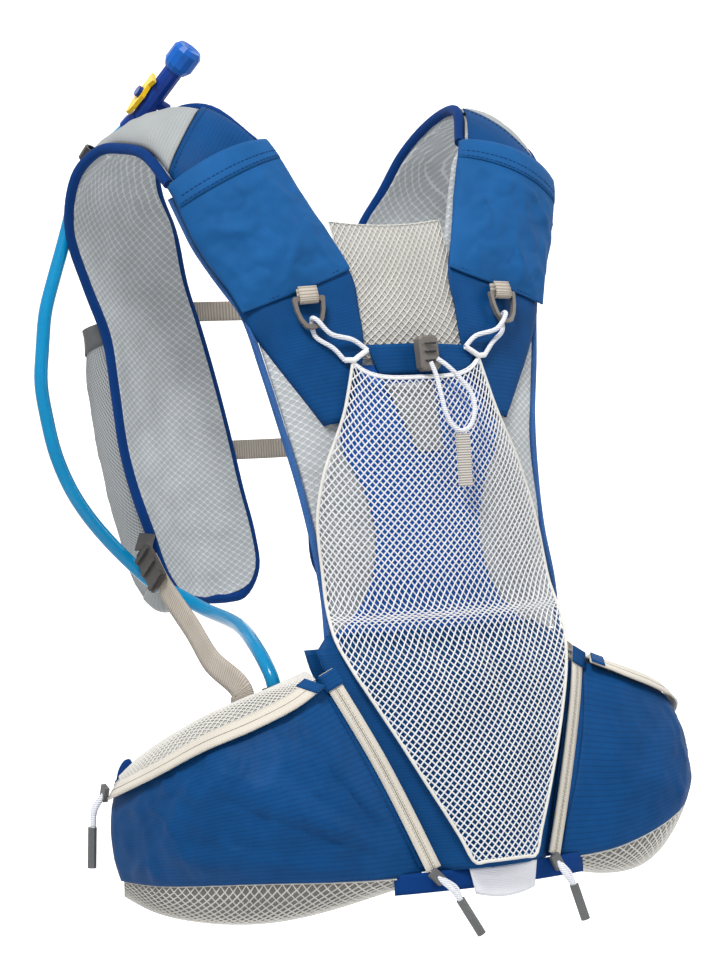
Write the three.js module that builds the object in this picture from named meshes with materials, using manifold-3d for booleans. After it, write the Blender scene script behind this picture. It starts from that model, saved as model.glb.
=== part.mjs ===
// Running hydration vest in its worn form, in millimetres.
// +X is the wearer's right, +Y is the way the wearer faces, +Z is up.
// The origin lies between the shoulders, at the height of the straps' crests.
import * as THREE from 'three';
import { mergeVertices } from 'three/addons/utils/BufferGeometryUtils.js';
import Module from 'manifold-3d';

const wasm = await Module();
wasm.setup();

// Worn form
const SHOULDER_HALF = 150; // centre line to the outermost point of a strap
const BODY_DEPTH = 100; // crest line to the chest, and to the back
const FRONT_DROP = 310; // crest to the lower end of a front panel
const HIP_HALF = 180; // centre line to the side of the hip
const PACK_DEPTH = 165; // crest line to the outside of the pack
const WAIST_DROP = 335; // crest to the waist
const HIP_RISE = 130; // waist to the hem
const STRAP_CROWN = 7; // how far the middle of a strap stands above its edges

// Walls
const PAD = 5; // padded air mesh
const CLOTH = 1.2; // plain cloth
const NET = 1.1; // knitted net
const GAP = 0.3; // clearance between pieces that touch
const BINDING = 6.6; // width of the edge binding
const EDGE_RADIUS = 2.2; // rolled mesh edge of the back

// Webbing, cords and fittings
const WEBBING = 1.3; // thickness of webbing
const SIDE_STRAP_WIDTH = 15;
const CHEST_STRAP_WIDTH = 12.5;
const CLASP_LENGTH = 34;
const CLASP_THICKNESS = 5;
const CLASP_SHIFT = 24; // the clasp sits towards the wearer's right
const RING_TAB_WIDTH = 11.4;
const RING_SIZE = 20; // height of a ring
const RING_BAR = 2.6; // thickness of a ring's bar
const CORD_RADIUS = 1.4; // elastic cords and the cord loop
const CORD_LOCK_HEIGHT = 21;
const CORD_LOCK_WIDTH = 13;
const CORD_LOCK_DEPTH = 8;
const PULL_TAB_LENGTH = 31;
const PULL_TAB_WIDTH = 8.5;
const PULL_TAB_DEPTH = 2.4;
const BAND_HEIGHT = 18;
const LADDER_LENGTH = 27;
const LADDER_WIDTH = 20;
const LADDER_DEPTH = 3.2;
const ZIP_TAPE = 9;
const ZIP_THICKNESS = 1.6;
const PULL_CORD_RADIUS = 1.1;
const PULL_TUBE_RADIUS = 2.8;
const PULL_TUBE_LENGTH = 24;

// Pockets
const SHOULDER_POCKET_BULGE = 8;
const FRONT_POCKET_DEPTH = 36;
const FRONT_POCKET_WALL = 1.5;
const PACK_WALL = 1.8;
const PACK_HOLLOW = 24; // body side to outer wall at the waist
const WING_CROWN = 5; // how far the upper net of a wing is drawn up
const BOTTLE_NET_DROP = 22; // how far the lower net hangs under a wing
const STRETCH_BULGE = 12; // how far the net pocket stands off the back
const NET_GAPS_ACROSS = 6;
const NET_GAPS_ALONG = 9;
const NET_STRAND_SHARE = 0.3; // strand width as a share of the pitch

// Drinking tube and valve
const TUBE_RADIUS = 4.3;
const TUBE_SIDES = 8;
const TUBE_STEPS = 44;
const VALVE_RADIUS = 6.2;
const VALVE_LENGTH = 38;
const MOUTH_RADIUS = 9.5;
const MOUTH_LENGTH = 17;
const BARREL_RADIUS = 3.6;
const BARREL_REACH = 11.5;
const LEVER_THICKNESS = 2.6;
const LEVER_LENGTH = 25;
const LEVER_WIDTH = 9;

// The hand-chosen route of the drinking tube, from the hip port to the valve.
const TUBE_ROUTE = [
  [-97.6, -81.5, -362], [-98.6, -80, -352], [-98.5, -71, -342], [-96, -55, -333], [-90, -28, -324],
  [-85, 0, -319], [-84, 40, -312], [-91, 60, -303], [-104, 69, -294], [-119, 72, -279],
  [-132, 72, -265], [-145, 71, -249], [-155, 71, -232], [-163, 71, -211], [-167, 72, -189],
  [-169, 73, -167], [-166, 75, -146], [-162, 76, -123], [-155, 77, -103], [-148, 78, -85],
  [-142, 79, -69], [-137, 79, -54], [-132, 77, -40], [-127, 71, -27], [-121, 61, -18],
  [-115, 50, -12], [-111, 41, -9],
];
const VALVE_START = [-108.8, 35.5, -7.5];
const VALVE_END = [-88.8, 8, 26];

// Rows of the shoulder straps, from the yoke's tip on the back over the crest to the front end.
// neckX, armX: share of SHOULDER_HALF. neckY, armY: share of BODY_DEPTH, or null on the back.
// neckDrop, armDrop: share of FRONT_DROP.
const STRAP_ROWS = [
  { neckX: 0.335, neckY: null, neckDrop: 0.665, armX: 0.40, armY: null, armDrop: 0.668 },
  { neckX: 0.225, neckY: null, neckDrop: 0.545, armX: 0.56, armY: null, armDrop: 0.548 },
  { neckX: 0.212, neckY: null, neckDrop: 0.452, armX: 0.647, armY: null, armDrop: 0.474 },
  { neckX: 0.22, neckY: null, neckDrop: 0.377, armX: 0.693, armY: null, armDrop: 0.413 },
  { neckX: 0.333, neckY: -0.6, neckDrop: 0.248, armX: 0.793, armY: -0.55, armDrop: 0.31 },
  { neckX: 0.44, neckY: -0.44, neckDrop: 0.126, armX: 0.86, armY: -0.43, armDrop: 0.21 },
  { neckX: 0.533, neckY: -0.2, neckDrop: 0.058, armX: 0.873, armY: -0.23, armDrop: 0.148 },
  { neckX: 0.587, neckY: 0.04, neckDrop: 0.04, armX: 0.893, armY: 0.0, armDrop: 0.124 },
  { neckX: 0.593, neckY: 0.3, neckDrop: 0.06, armX: 0.933, armY: 0.2, armDrop: 0.116 },
  { neckX: 0.573, neckY: 0.56, neckDrop: 0.098, armX: 0.98, armY: 0.4, armDrop: 0.138 },
  { neckX: 0.527, neckY: 0.72, neckDrop: 0.158, armX: 1.0, armY: 0.54, armDrop: 0.184 },
  { neckX: 0.44, neckY: 0.82, neckDrop: 0.229, armX: 0.987, armY: 0.64, armDrop: 0.239 },
  { neckX: 0.387, neckY: 0.88, neckDrop: 0.332, armX: 0.9, armY: 0.73, armDrop: 0.342 },
  { neckX: 0.32, neckY: 0.91, neckDrop: 0.432, armX: 0.813, armY: 0.78, armDrop: 0.439 },
  { neckX: 0.26, neckY: 0.92, neckDrop: 0.542, armX: 0.78, armY: 0.8, armDrop: 0.555 },
  { neckX: 0.213, neckY: 0.92, neckDrop: 0.645, armX: 0.76, armY: 0.8, armDrop: 0.665 },
  { neckX: 0.173, neckY: 0.91, neckDrop: 0.755, armX: 0.727, armY: 0.78, armDrop: 0.755 },
  { neckX: 0.133, neckY: 0.89, neckDrop: 0.855, armX: 0.673, armY: 0.76, armDrop: 0.845 },
  { neckX: 0.127, neckY: 0.86, neckDrop: 0.929, armX: 0.627, armY: 0.75, armDrop: 0.923 },
  { neckX: 0.18, neckY: 0.85, neckDrop: 0.977, armX: 0.56, armY: 0.76, armDrop: 0.974 },
  { neckX: 0.267, neckY: 0.84, neckDrop: 1.0, armX: 0.453, armY: 0.79, armDrop: 1.0 },
];
const ROW_BACK_END = 3; // where the strap's pad meets the back pad
const ROW_POCKET_TOP = 5;
const ROW_BINDING = 5.15; // where the edge binding starts, under the pocket
const END_PULL = 0.85; // how far the pad's end stays above the binding's end, in rows
const PAD_CLEAR = 1.6; // pad edge to binding
const ROW_PATCH_END = 6.3; // where the blue cloth meets the shoulder cap
const ROW_CAP_END = 9.4;
const ROW_FRONT_POCKET = 13.3;
const ROW_LAST = STRAP_ROWS.length - 1;

// The back at the centre line. drop: share of FRONT_DROP, depth: share of BODY_DEPTH.
const BACK_ROWS = [
  { drop: 0.19, depth: 0.52 }, { drop: 0.29, depth: 0.67 }, { drop: 0.387, depth: 0.79 },
  { drop: 0.484, depth: 0.87 }, { drop: 0.58, depth: 0.91 }, { drop: 0.68, depth: 0.94 },
  { drop: 0.84, depth: 0.95 }, { drop: 1.08, depth: 0.96 }, { drop: 1.29, depth: 1.02 },
  { drop: 1.52, depth: 1.09 },
];
const BACK_SQUARENESS = 2.4;

// Half widths of the back pad. drop: share of WAIST_DROP, half: share of SHOULDER_HALF.
const BACK_EDGE_ROWS = [
  { drop: 0.38, half: 0.693 }, { drop: 0.433, half: 0.66 }, { drop: 0.522, half: 0.62 },
  { drop: 0.64, half: 0.567 }, { drop: 0.72, half: 0.527 }, { drop: 0.79, half: 0.5 },
  { drop: 0.88, half: 0.467 }, { drop: 1.0, half: 0.46 },
];

// Half widths of the blue panel under the net, in the same shares.
const CENTRE_ROWS = [
  { drop: 0.515, half: 0.29 }, { drop: 0.6, half: 0.34 }, { drop: 0.663, half: 0.34 },
  { drop: 0.73, half: 0.27 }, { drop: 0.806, half: 0.233 }, { drop: 0.88, half: 0.253 },
  { drop: 0.94, half: 0.32 }, { drop: 0.99, half: 0.44 },
];

// The net pocket. drop: share of WAIST_DROP, half: share of SHOULDER_HALF,
// edge and middle: shares of BODY_DEPTH.
const NET_ROWS = [
  { drop: 0.503, half: 0.283, edge: 0.992, middle: 1.024 },
  { drop: 0.6, half: 0.347, edge: 1.01, middle: 1.1 },
  { drop: 0.693, half: 0.44, edge: 0.99, middle: 1.125 },
  { drop: 0.806, half: 0.52, edge: 0.965, middle: 1.15 },
  { drop: 0.913, half: 0.547, edge: 1.0, middle: 1.18 },
  { drop: 0.99, half: 0.533, edge: 1.17, middle: 1.27 },
  { drop: 1.06, half: 0.467, edge: 1.335, middle: 1.4 },
  { drop: 1.15, half: 0.373, edge: 1.47, middle: 1.54 },
  { drop: 1.233, half: 0.287, edge: 1.56, middle: 1.62 },
  { drop: 1.307, half: 0.207, edge: 1.63, middle: 1.67 },
  { drop: 1.376, half: 0.133, edge: 1.68, middle: 1.695 },
];

// The pack between its two zips. drop: share of HIP_RISE below the waist,
// half: share of HIP_HALF, edge, middle and body: shares of PACK_DEPTH.
const PACK_ROWS = [
  { drop: 0.006, half: 0.475, edge: 0.68, middle: 0.735, body: 0.595 },
  { drop: 0.1, half: 0.462, edge: 0.71, middle: 0.78, body: 0.61 },
  { drop: 0.3, half: 0.405, edge: 0.775, middle: 0.86, body: 0.63 },
  { drop: 0.54, half: 0.335, edge: 0.835, middle: 0.92, body: 0.645 },
  { drop: 0.77, half: 0.272, edge: 0.875, middle: 0.96, body: 0.66 },
  { drop: 0.98, half: 0.215, edge: 0.905, middle: 0.985, body: 0.675 },
];

// Ribs of a hip wing from the pack to its front end. X: share of HIP_HALF, Y: share of PACK_DEPTH,
// drops: share of HIP_RISE below the waist.
const WING_RIBS = [
  { topX: 0.493, topY: -0.72, topDrop: 0.13, midX: 0.38, midY: -0.86, hemX: 0.24, hemY: -0.9,
    bodyX: 0.478, bodyY: -0.615, bodyDrop: 0.1, bodyHemX: 0.44, bodyHemY: -0.66 },
  { topX: 0.61, topY: -0.76, topDrop: 0.21, midX: 0.57, midY: -0.905, hemX: 0.51, hemY: -0.905,
    bodyX: 0.575, bodyY: -0.55, bodyDrop: 0.16, bodyHemX: 0.56, bodyHemY: -0.6 },
  { topX: 0.744, topY: -0.74, topDrop: 0.29, midX: 0.767, midY: -0.85, hemX: 0.722, hemY: -0.837,
    bodyX: 0.656, bodyY: -0.45, bodyDrop: 0.215, bodyHemX: 0.66, bodyHemY: -0.51 },
  { topX: 0.865, topY: -0.645, topDrop: 0.37, midX: 0.9, midY: -0.71, hemX: 0.86, hemY: -0.68,
    bodyX: 0.767, bodyY: -0.29, bodyDrop: 0.315, bodyHemX: 0.78, bodyHemY: -0.35 },
  { topX: 0.94, topY: -0.43, topDrop: 0.492, midX: 0.975, midY: -0.45, hemX: 0.95, hemY: -0.424,
    bodyX: 0.878, bodyY: -0.133, bodyDrop: 0.446, bodyHemX: 0.89, bodyHemY: -0.18 },
  { topX: 0.972, topY: -0.085, topDrop: 0.623, midX: 0.989, midY: -0.08, hemX: 0.972, hemY: -0.1,
    bodyX: 0.94, bodyY: -0.012, bodyDrop: 0.577, bodyHemX: 0.94, bodyHemY: -0.03 },
];

const COLOURS = {
  blue: { color: 0x1f5a9f, roughness: 0.75, metalness: 0 },
  deepBlue: { color: 0x0d4a94, roughness: 0.7, metalness: 0 },
  airMesh: { color: 0xc9cccc, roughness: 0.9, metalness: 0 },
  net: { color: 0xdedcda, roughness: 0.85, metalness: 0 },
  beigeNet: { color: 0xc4bfb6, roughness: 0.85, metalness: 0 },
  capCloth: { color: 0xcdd0cf, roughness: 0.85, metalness: 0 },
  zip: { color: 0xdad4c8, roughness: 0.7, metalness: 0 },
  cord: { color: 0xf2f3f8, roughness: 0.6, metalness: 0 },
  greyPlastic: { color: 0x77716b, roughness: 0.45, metalness: 0 },
  webbing: { color: 0xada498, roughness: 0.8, metalness: 0 },
  pullTube: { color: 0x6f7072, roughness: 0.5, metalness: 0 },
  reflective: { color: 0xededf2, roughness: 0.35, metalness: 0.2 },
  tube: { color: 0x1e9bd7, roughness: 0.25, metalness: 0 },
  valve: { color: 0x1f3fb0, roughness: 0.35, metalness: 0 },
  lever: { color: 0xf5c518, roughness: 0.35, metalness: 0 },
  darkPlastic: { color: 0x2b2b2e, roughness: 0.5, metalness: 0 },
};

const vest = new THREE.Group();
const vector = (x, y, z) => new THREE.Vector3(x, y, z);

function addPiece(name, geometry, colour, parent = vest) {
  const mesh = new THREE.Mesh(geometry, new THREE.MeshStandardMaterial(COLOURS[colour]));
  mesh.name = name;
  parent.add(mesh);
  return mesh;
}

// A smooth value of one column between the rows of a table, by its key column.
function fromRows(rows, key, column, value) {
  const last = rows.length - 1;
  let i = 0;
  while (i < last - 1 && value > rows[i + 1][key]) i += 1;
  const [a, b] = [rows[i], rows[i + 1]];
  const before = rows[Math.max(i - 1, 0)];
  const after = rows[Math.min(i + 2, last)];
  const span = b[key] - a[key];
  const t = THREE.MathUtils.clamp((value - a[key]) / span, -1, 2);
  const startSlope = (b[column] - before[column]) / (b[key] - before[key]) * span;
  const endSlope = (after[column] - a[column]) / (after[key] - a[key]) * span;
  const t2 = t * t;
  const t3 = t2 * t;
  return (2 * t3 - 3 * t2 + 1) * a[column] + (t3 - 2 * t2 + t) * startSlope
    + (3 * t2 - 2 * t3) * b[column] + (t3 - t2) * endSlope;
}

// A solid skin over a grid of points. point gives the body side, and the wall grows away from inside.
// solid says which cells are kept, so a net has gaps.
function sheet({ across, along, point, thickness, inside, solid = () => true }) {
  const at = (i, j) => i * (along + 1) + j;
  const lower = [];
  for (let i = 0; i <= across; i += 1) {
    for (let j = 0; j <= along; j += 1) lower.push(point(i / across, j / along));
  }
  const middle = lower[at(Math.floor(across / 2), Math.floor(along / 2))];
  const normals = lower.map((_, k) => {
    const [i, j] = [Math.floor(k / (along + 1)), k % (along + 1)];
    const du = lower[at(Math.min(i + 1, across), j)].clone().sub(lower[at(Math.max(i - 1, 0), j)]);
    const dv = lower[at(i, Math.min(j + 1, along))].clone().sub(lower[at(i, Math.max(j - 1, 0))]);
    return du.cross(dv).normalize();
  });
  const k = at(Math.floor(across / 2), Math.floor(along / 2));
  const outward = Math.sign(normals[k].dot(middle.clone().sub(inside)));
  const count = lower.length;
  const positions = [];
  lower.forEach((p) => positions.push(p.x, p.y, p.z));
  lower.forEach((p, n) => {
    const q = p.clone().addScaledVector(normals[n], thickness * outward);
    positions.push(q.x, q.y, q.z);
  });
  const index = [];
  const quad = (a, b, c, d) => {
    if (outward > 0) index.push(a, b, c, a, c, d);
    else index.push(a, c, b, a, d, c);
  };
  const kept = (i, j) => i >= 0 && j >= 0 && i < across && j < along && solid(i, j);
  for (let i = 0; i < across; i += 1) {
    for (let j = 0; j < along; j += 1) {
      if (!kept(i, j)) continue;
      const [a, b, c, d] = [at(i, j), at(i + 1, j), at(i + 1, j + 1), at(i, j + 1)];
      quad(a + count, b + count, c + count, d + count);
      quad(a, d, c, b);
      if (!kept(i, j - 1)) quad(a, b, b + count, a + count);
      if (!kept(i + 1, j)) quad(b, c, c + count, b + count);
      if (!kept(i, j + 1)) quad(c, d, d + count, c + count);
      if (!kept(i - 1, j)) quad(d, a, a + count, d + count);
    }
  }
  const used = [...new Set(index)];
  const renumber = new Map(used.map((old, n) => [old, n]));
  const geometry = new THREE.BufferGeometry();
  const kept3 = used.flatMap((old) => positions.slice(old * 3, old * 3 + 3));
  geometry.setAttribute('position', new THREE.Float32BufferAttribute(kept3, 3));
  geometry.setIndex(index.map((old) => renumber.get(old)));
  return geometry;
}

// A closed skin through rings of points, with a pole at each end.
function loft(rings, startPole, endPole) {
  const size = rings[0].length;
  const points = [startPole, ...rings.flat(), endPole];
  const last = points.length - 1;
  const index = [];
  for (let i = 0; i < size; i += 1) {
    const j = (i + 1) % size;
    index.push(0, 1 + j, 1 + i);
    for (let ring = 0; ring < rings.length - 1; ring += 1) {
      const [a, b] = [1 + ring * size + i, 1 + ring * size + j];
      index.push(a, b, b + size, a, b + size, a + size);
    }
    index.push(last, last - size + i, last - size + j);
  }
  const geometry = new THREE.BufferGeometry();
  geometry.setAttribute('position', new THREE.Float32BufferAttribute(
    points.flatMap((p) => [p.x, p.y, p.z]), 3));
  geometry.setIndex(index);
  return geometry;
}

// A round rod along a smooth route.
function rod(route, radius, sides, steps) {
  const section = new THREE.Shape();
  for (let i = 0; i < sides; i += 1) {
    const angle = (i / sides) * Math.PI * 2;
    const corner = [radius * Math.cos(angle), radius * Math.sin(angle)];
    if (i === 0) section.moveTo(...corner);
    else section.lineTo(...corner);
  }
  const curve = new THREE.CatmullRomCurve3(route, false, 'centripetal');
  return new THREE.ExtrudeGeometry(section, { steps, extrudePath: curve, bevelEnabled: false });
}

// A flat strap along a smooth route, facing away from inside.
function strap({ route, width, thickness, inside, steps, face }) {
  const curve = new THREE.CatmullRomCurve3(route, false, 'centripetal');
  const point = (u, v) => {
    const centre = curve.getPoint(v);
    const tangent = curve.getTangent(v);
    const outward = face ? face(v) : centre.clone().sub(inside);
    const side = tangent.cross(outward).normalize();
    return centre.addScaledVector(side, (u - 0.5) * width);
  };
  return sheet({ across: 1, along: steps, point, thickness, inside });
}

function manifoldOf(geometry) {
  const bare = geometry.clone();
  bare.deleteAttribute('normal');
  bare.deleteAttribute('uv');
  const merged = mergeVertices(bare, 1e-3);
  return new wasm.Manifold(new wasm.Mesh({
    numProp: 3,
    vertProperties: new Float32Array(merged.attributes.position.array),
    triVerts: new Uint32Array(merged.index.array),
  }));
}

function geometryOf(manifold) {
  const mesh = manifold.getMesh();
  const geometry = new THREE.BufferGeometry();
  geometry.setAttribute('position', new THREE.BufferAttribute(new Float32Array(mesh.vertProperties), 3));
  geometry.setIndex(new THREE.BufferAttribute(new Uint32Array(mesh.triVerts), 1));
  return geometry;
}

function joined(geometries) {
  return geometryOf(geometries.map(manifoldOf).reduce((whole, next) => whole.add(next)));
}

// Turns and moves a geometry so that its X, Y and Z follow the given axes.
function placed(geometry, origin, xAxis, normal) {
  const z = normal.clone().normalize();
  const x = xAxis.clone().addScaledVector(z, -xAxis.dot(z)).normalize();
  const y = z.clone().cross(x);
  const matrix = new THREE.Matrix4().makeBasis(x, y, z).setPosition(origin);
  return geometry.clone().applyMatrix4(matrix);
}

// The back surface, off millimetres outside the body.
function backSurface(x, z) {
  const depth = fromRows(BACK_ROWS, 'drop', 'depth', -z / FRONT_DROP) * BODY_DEPTH;
  const share = Math.min(Math.abs(x) / SHOULDER_HALF, 0.98);
  const y = -depth * (1 - share ** BACK_SQUARENESS) ** (1 / BACK_SQUARENESS);
  return vector(x, y, z);
}

function backNormal(x, z) {
  const dx = backSurface(x + 1, z).sub(backSurface(x - 1, z));
  const dz = backSurface(x, z + 1).sub(backSurface(x, z - 1));
  return dx.cross(dz).normalize();
}

function back(x, z, off) {
  return backSurface(x, z).addScaledVector(backNormal(x, z), off);
}

// The two edges of a strap, and its surface. across runs from the neck edge to the arm edge.
const strapEdges = ['neck', 'arm'].map((edge) => new THREE.CatmullRomCurve3(
  STRAP_ROWS.map((row) => {
    const x = row[`${edge}X`] * SHOULDER_HALF;
    const z = -row[`${edge}Drop`] * FRONT_DROP;
    const y = row[`${edge}Y`];
    return y === null ? backSurface(x, z) : vector(x, y * BODY_DEPTH, z);
  }), false, 'catmullrom', 0.5));

const STRAP_HEART = vector(0, 0, -0.5 * FRONT_DROP);

function strapSurface(across, row) {
  const v = THREE.MathUtils.clamp(row / ROW_LAST, 0, 1);
  const neck = strapEdges[0].getPoint(v);
  const arm = strapEdges[1].getPoint(v);
  const along = strapEdges[0].getTangent(v).add(strapEdges[1].getTangent(v));
  const outward = along.cross(arm.clone().sub(neck)).normalize();
  if (outward.dot(neck.clone().sub(STRAP_HEART)) < 0) outward.negate();
  const share = THREE.MathUtils.clamp(across, 0, 1);
  const rise = THREE.MathUtils.smoothstep(row, ROW_BACK_END, ROW_POCKET_TOP);
  const crown = STRAP_CROWN * rise * Math.sin(Math.PI * share);
  const fromBack = backCrown(neck, arm, share) * (1 - rise);
  return neck.lerp(arm, across).addScaledVector(outward, crown + fromBack);
}

// How far the back bulges past a straight line from the neck edge to the arm edge.
function backCrown(neck, arm, share) {
  const straight = neck.clone().lerp(arm, share);
  return straight.y - backSurface(straight.x, straight.z).y;
}

function strapPoint(across, row, off, side) {
  const step = 0.05;
  const centre = strapSurface(across, row);
  const du = strapSurface(across + step, row).sub(strapSurface(across - step, row));
  const dv = strapSurface(across, row + step).sub(strapSurface(across, row - step));
  const normal = du.cross(dv).normalize();
  if (normal.dot(centre.clone().sub(STRAP_HEART)) < 0) normal.negate();
  const point = centre.addScaledVector(normal, off);
  point.x *= side;
  return point;
}

// Width of the strap at a row, for sizes that run across it.
function strapWidth(row) {
  return strapSurface(0, row).distanceTo(strapSurface(1, row));
}

const SIDES = [{ name: 'left', side: -1 }, { name: 'right', side: 1 }];
const CENTRE_OFF = PAD + 4 * GAP;
const YOKE_OFF = CENTRE_OFF + CLOTH + GAP; // the yoke lies over the edge of the centre panel
const OVER_YOKE = YOKE_OFF + CLOTH + GAP;

function frontPanel(side) {
  const point = (u, v) => {
    const row = ROW_BACK_END + 0.05 + v * (ROW_LAST - ROW_BACK_END - 0.05);
    const bound = THREE.MathUtils.smoothstep(row, ROW_BINDING - 0.4, ROW_BINDING);
    const neckInset = THREE.MathUtils.lerp(GAP, BINDING + PAD_CLEAR, bound);
    const armInset = THREE.MathUtils.lerp(EDGE_RADIUS + PAD_CLEAR, BINDING + PAD_CLEAR, bound);
    const width = strapWidth(row);
    const across = THREE.MathUtils.lerp(neckInset, width - armInset, u) / width;
    return strapPoint(across, row - END_PULL * v ** 6, 0, side);
  };
  return sheet({ across: 4, along: 22, point, thickness: PAD, inside: STRAP_HEART });
}

function binding(side) {
  const middle = (across, row) => {
    const inset = BINDING / 2 / strapWidth(row);
    return strapPoint(across < 0.5 ? inset : 1 - inset, row, PAD / 2, side);
  };
  const rows = [];
  for (let row = ROW_BINDING; row < ROW_LAST - 1; row += 1) rows.push(row);
  const neck = rows.map((row) => middle(0, row));
  const arm = rows.map((row) => middle(1, row)).reverse();
  const end = [0.12, 0.5, 0.88].map((u) => strapPoint(u, ROW_LAST - 0.12, PAD / 2, side));
  return rod([...neck, ...end, ...arm], BINDING / 2, 5, 38);
}

function yoke(side) {
  const point = (u, v) => {
    const top = THREE.MathUtils.lerp(ROW_PATCH_END, ROW_POCKET_TOP + 0.3, u);
    const row = 0.02 + v * (top - 0.02);
    const inset = Math.min(BINDING + GAP, strapWidth(row) * 0.2) / strapWidth(row);
    const rise = THREE.MathUtils.smoothstep(row, ROW_BACK_END, ROW_POCKET_TOP);
    const keep = inset * rise;
    return strapPoint(keep + u * (1 - 2 * keep), row, YOKE_OFF, side);
  };
  return sheet({ across: 4, along: 9, point, thickness: CLOTH, inside: STRAP_HEART });
}

function shoulderCap(side) {
  const point = (u, v) => {
    const start = THREE.MathUtils.lerp(ROW_PATCH_END, ROW_POCKET_TOP + 0.3, u) + 0.03;
    const row = start + v * (ROW_CAP_END - start);
    const keep = (BINDING + GAP) / strapWidth(row);
    return strapPoint(keep + u * (1 - 2 * keep), row, YOKE_OFF, side);
  };
  return sheet({ across: 4, along: 6, point, thickness: CLOTH, inside: STRAP_HEART });
}

function shoulderPocket(side) {
  const point = (u, v) => {
    const low = ROW_BACK_END - 0.6 * u;
    const row = low + v * (ROW_POCKET_TOP - low);
    const swell = Math.sin(Math.PI * u) ** 0.7 * Math.min(1, 3 * v) * (0.75 + 0.25 * Math.sin(Math.PI * v));
    return strapPoint(u, row, OVER_YOKE + SHOULDER_POCKET_BULGE * swell, side);
  };
  return sheet({ across: 6, along: 6, point, thickness: CLOTH, inside: STRAP_HEART });
}

// The flask sleeve on the outside of a front panel, open at its top.
function frontPocket(side) {
  const point = (u, v) => {
    const top = ROW_FRONT_POCKET - 0.5 * u;
    const row = top + v * (ROW_LAST - 1.1 - top);
    const angle = Math.PI * u;
    const full = (1 - v ** 5) ** 0.5;
    const across = 0.59 - Math.cos(angle) * (0.3 + 0.13 * Math.sin(angle));
    const fill = 0.8 + 0.2 * Math.min(1, 2 * v);
    const off = PAD + 4 * GAP + FRONT_POCKET_DEPTH * full * fill * Math.sin(angle) ** 0.75;
    return strapPoint(across, row, off, side);
  };
  return sheet({ across: 8, along: 7, point, thickness: FRONT_POCKET_WALL, inside: STRAP_HEART });
}

function backHalf(z) {
  return fromRows(BACK_EDGE_ROWS, 'drop', 'half', -z / WAIST_DROP) * SHOULDER_HALF;
}

// The line where the back pad meets the straps' pads.
const PAD_LINE_INNER = STRAP_ROWS[ROW_BACK_END].neckX * SHOULDER_HALF;
const PAD_LINE_OUTER = STRAP_ROWS[ROW_BACK_END].armX * SHOULDER_HALF;
const PAD_LINE_TOP = -STRAP_ROWS[ROW_BACK_END].neckDrop * FRONT_DROP;
const PAD_LINE_SLOPE = (STRAP_ROWS[ROW_BACK_END].armDrop - STRAP_ROWS[ROW_BACK_END].neckDrop)
  * FRONT_DROP / (PAD_LINE_OUTER - PAD_LINE_INNER);

function backPanel() {
  const inset = 2 * EDGE_RADIUS + GAP;
  const point = (u, v) => {
    const w = 2 * u - 1;
    const low = -WAIST_DROP;
    const roughX = Math.abs(w) * (PAD_LINE_OUTER - inset);
    const top = PAD_LINE_TOP - Math.max(0, roughX - PAD_LINE_INNER) * PAD_LINE_SLOPE - GAP;
    const z = top + v * (low - top);
    return back(w * (backHalf(z) - inset), z, 0);
  };
  return sheet({ across: 8, along: 9, point, thickness: PAD, inside: vector(0, 0, -WAIST_DROP / 2) });
}

// The rolled mesh edge down the arm side of the back, from the shoulder pocket to the waist.
function backEdge(side) {
  const upper = [4.9, 4.4, 4, 3.5, 3.15].map((row) => strapPoint(1, row, PAD / 2, side));
  const lower = [];
  for (let z = -0.415 * WAIST_DROP; z > -WAIST_DROP; z -= 0.1 * WAIST_DROP) {
    lower.push(back(side * (backHalf(z) - EDGE_RADIUS), z, PAD / 2));
  }
  return rod([...upper, ...lower], EDGE_RADIUS, 5, 18);
}

function upperBackMesh() {
  const bottom = -STRAP_ROWS[1].neckDrop * FRONT_DROP + 1;
  const top = -0.278 * FRONT_DROP;
  const neckX = (z) => {
    const row = 3 + (PAD_LINE_TOP - z) / (PAD_LINE_TOP + STRAP_ROWS[4].neckDrop * FRONT_DROP) * -1;
    return strapSurface(0, THREE.MathUtils.clamp(row, 1, 4)).x;
  };
  const point = (u, v) => {
    const w = 2 * u - 1;
    const z = top - 3 * (1 - w * w) + v * (bottom - top + 3 * (1 - w * w));
    return back(w * (neckX(z) - 1), z, PAD + GAP);
  };
  return sheet({ across: 6, along: 5, point, thickness: NET, inside: STRAP_HEART });
}

function centrePanel() {
  const top = -CENTRE_ROWS[0].drop * WAIST_DROP;
  const bottom = -CENTRE_ROWS[CENTRE_ROWS.length - 1].drop * WAIST_DROP;
  const point = (u, v) => {
    const z = top + v * (bottom - top);
    const half = fromRows(CENTRE_ROWS, 'drop', 'half', -z / WAIST_DROP) * SHOULDER_HALF;
    return back((2 * u - 1) * half, z, CENTRE_OFF);
  };
  return sheet({ across: 6, along: 9, point, thickness: CLOTH, inside: STRAP_HEART });
}

const TONGUE = { topLeft: -0.147, topRight: 0.067, lowLeft: -0.03, lowRight: 0.08, top: 0.55, low: 0.67 };

function centreTongue() {
  const point = (u, v) => {
    const z = -WAIST_DROP * THREE.MathUtils.lerp(TONGUE.top, TONGUE.low, v);
    const left = THREE.MathUtils.lerp(TONGUE.topLeft, TONGUE.lowLeft, v);
    const right = THREE.MathUtils.lerp(TONGUE.topRight, TONGUE.lowRight, v);
    return back(THREE.MathUtils.lerp(left, right, u) * SHOULDER_HALF, z, CENTRE_OFF + CLOTH + 2 * GAP);
  };
  return sheet({ across: 2, along: 4, point, thickness: CLOTH, inside: STRAP_HEART });
}

const NET_CORNER_RISE = 11; // how far the net's upper corners reach above its top edge

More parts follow.
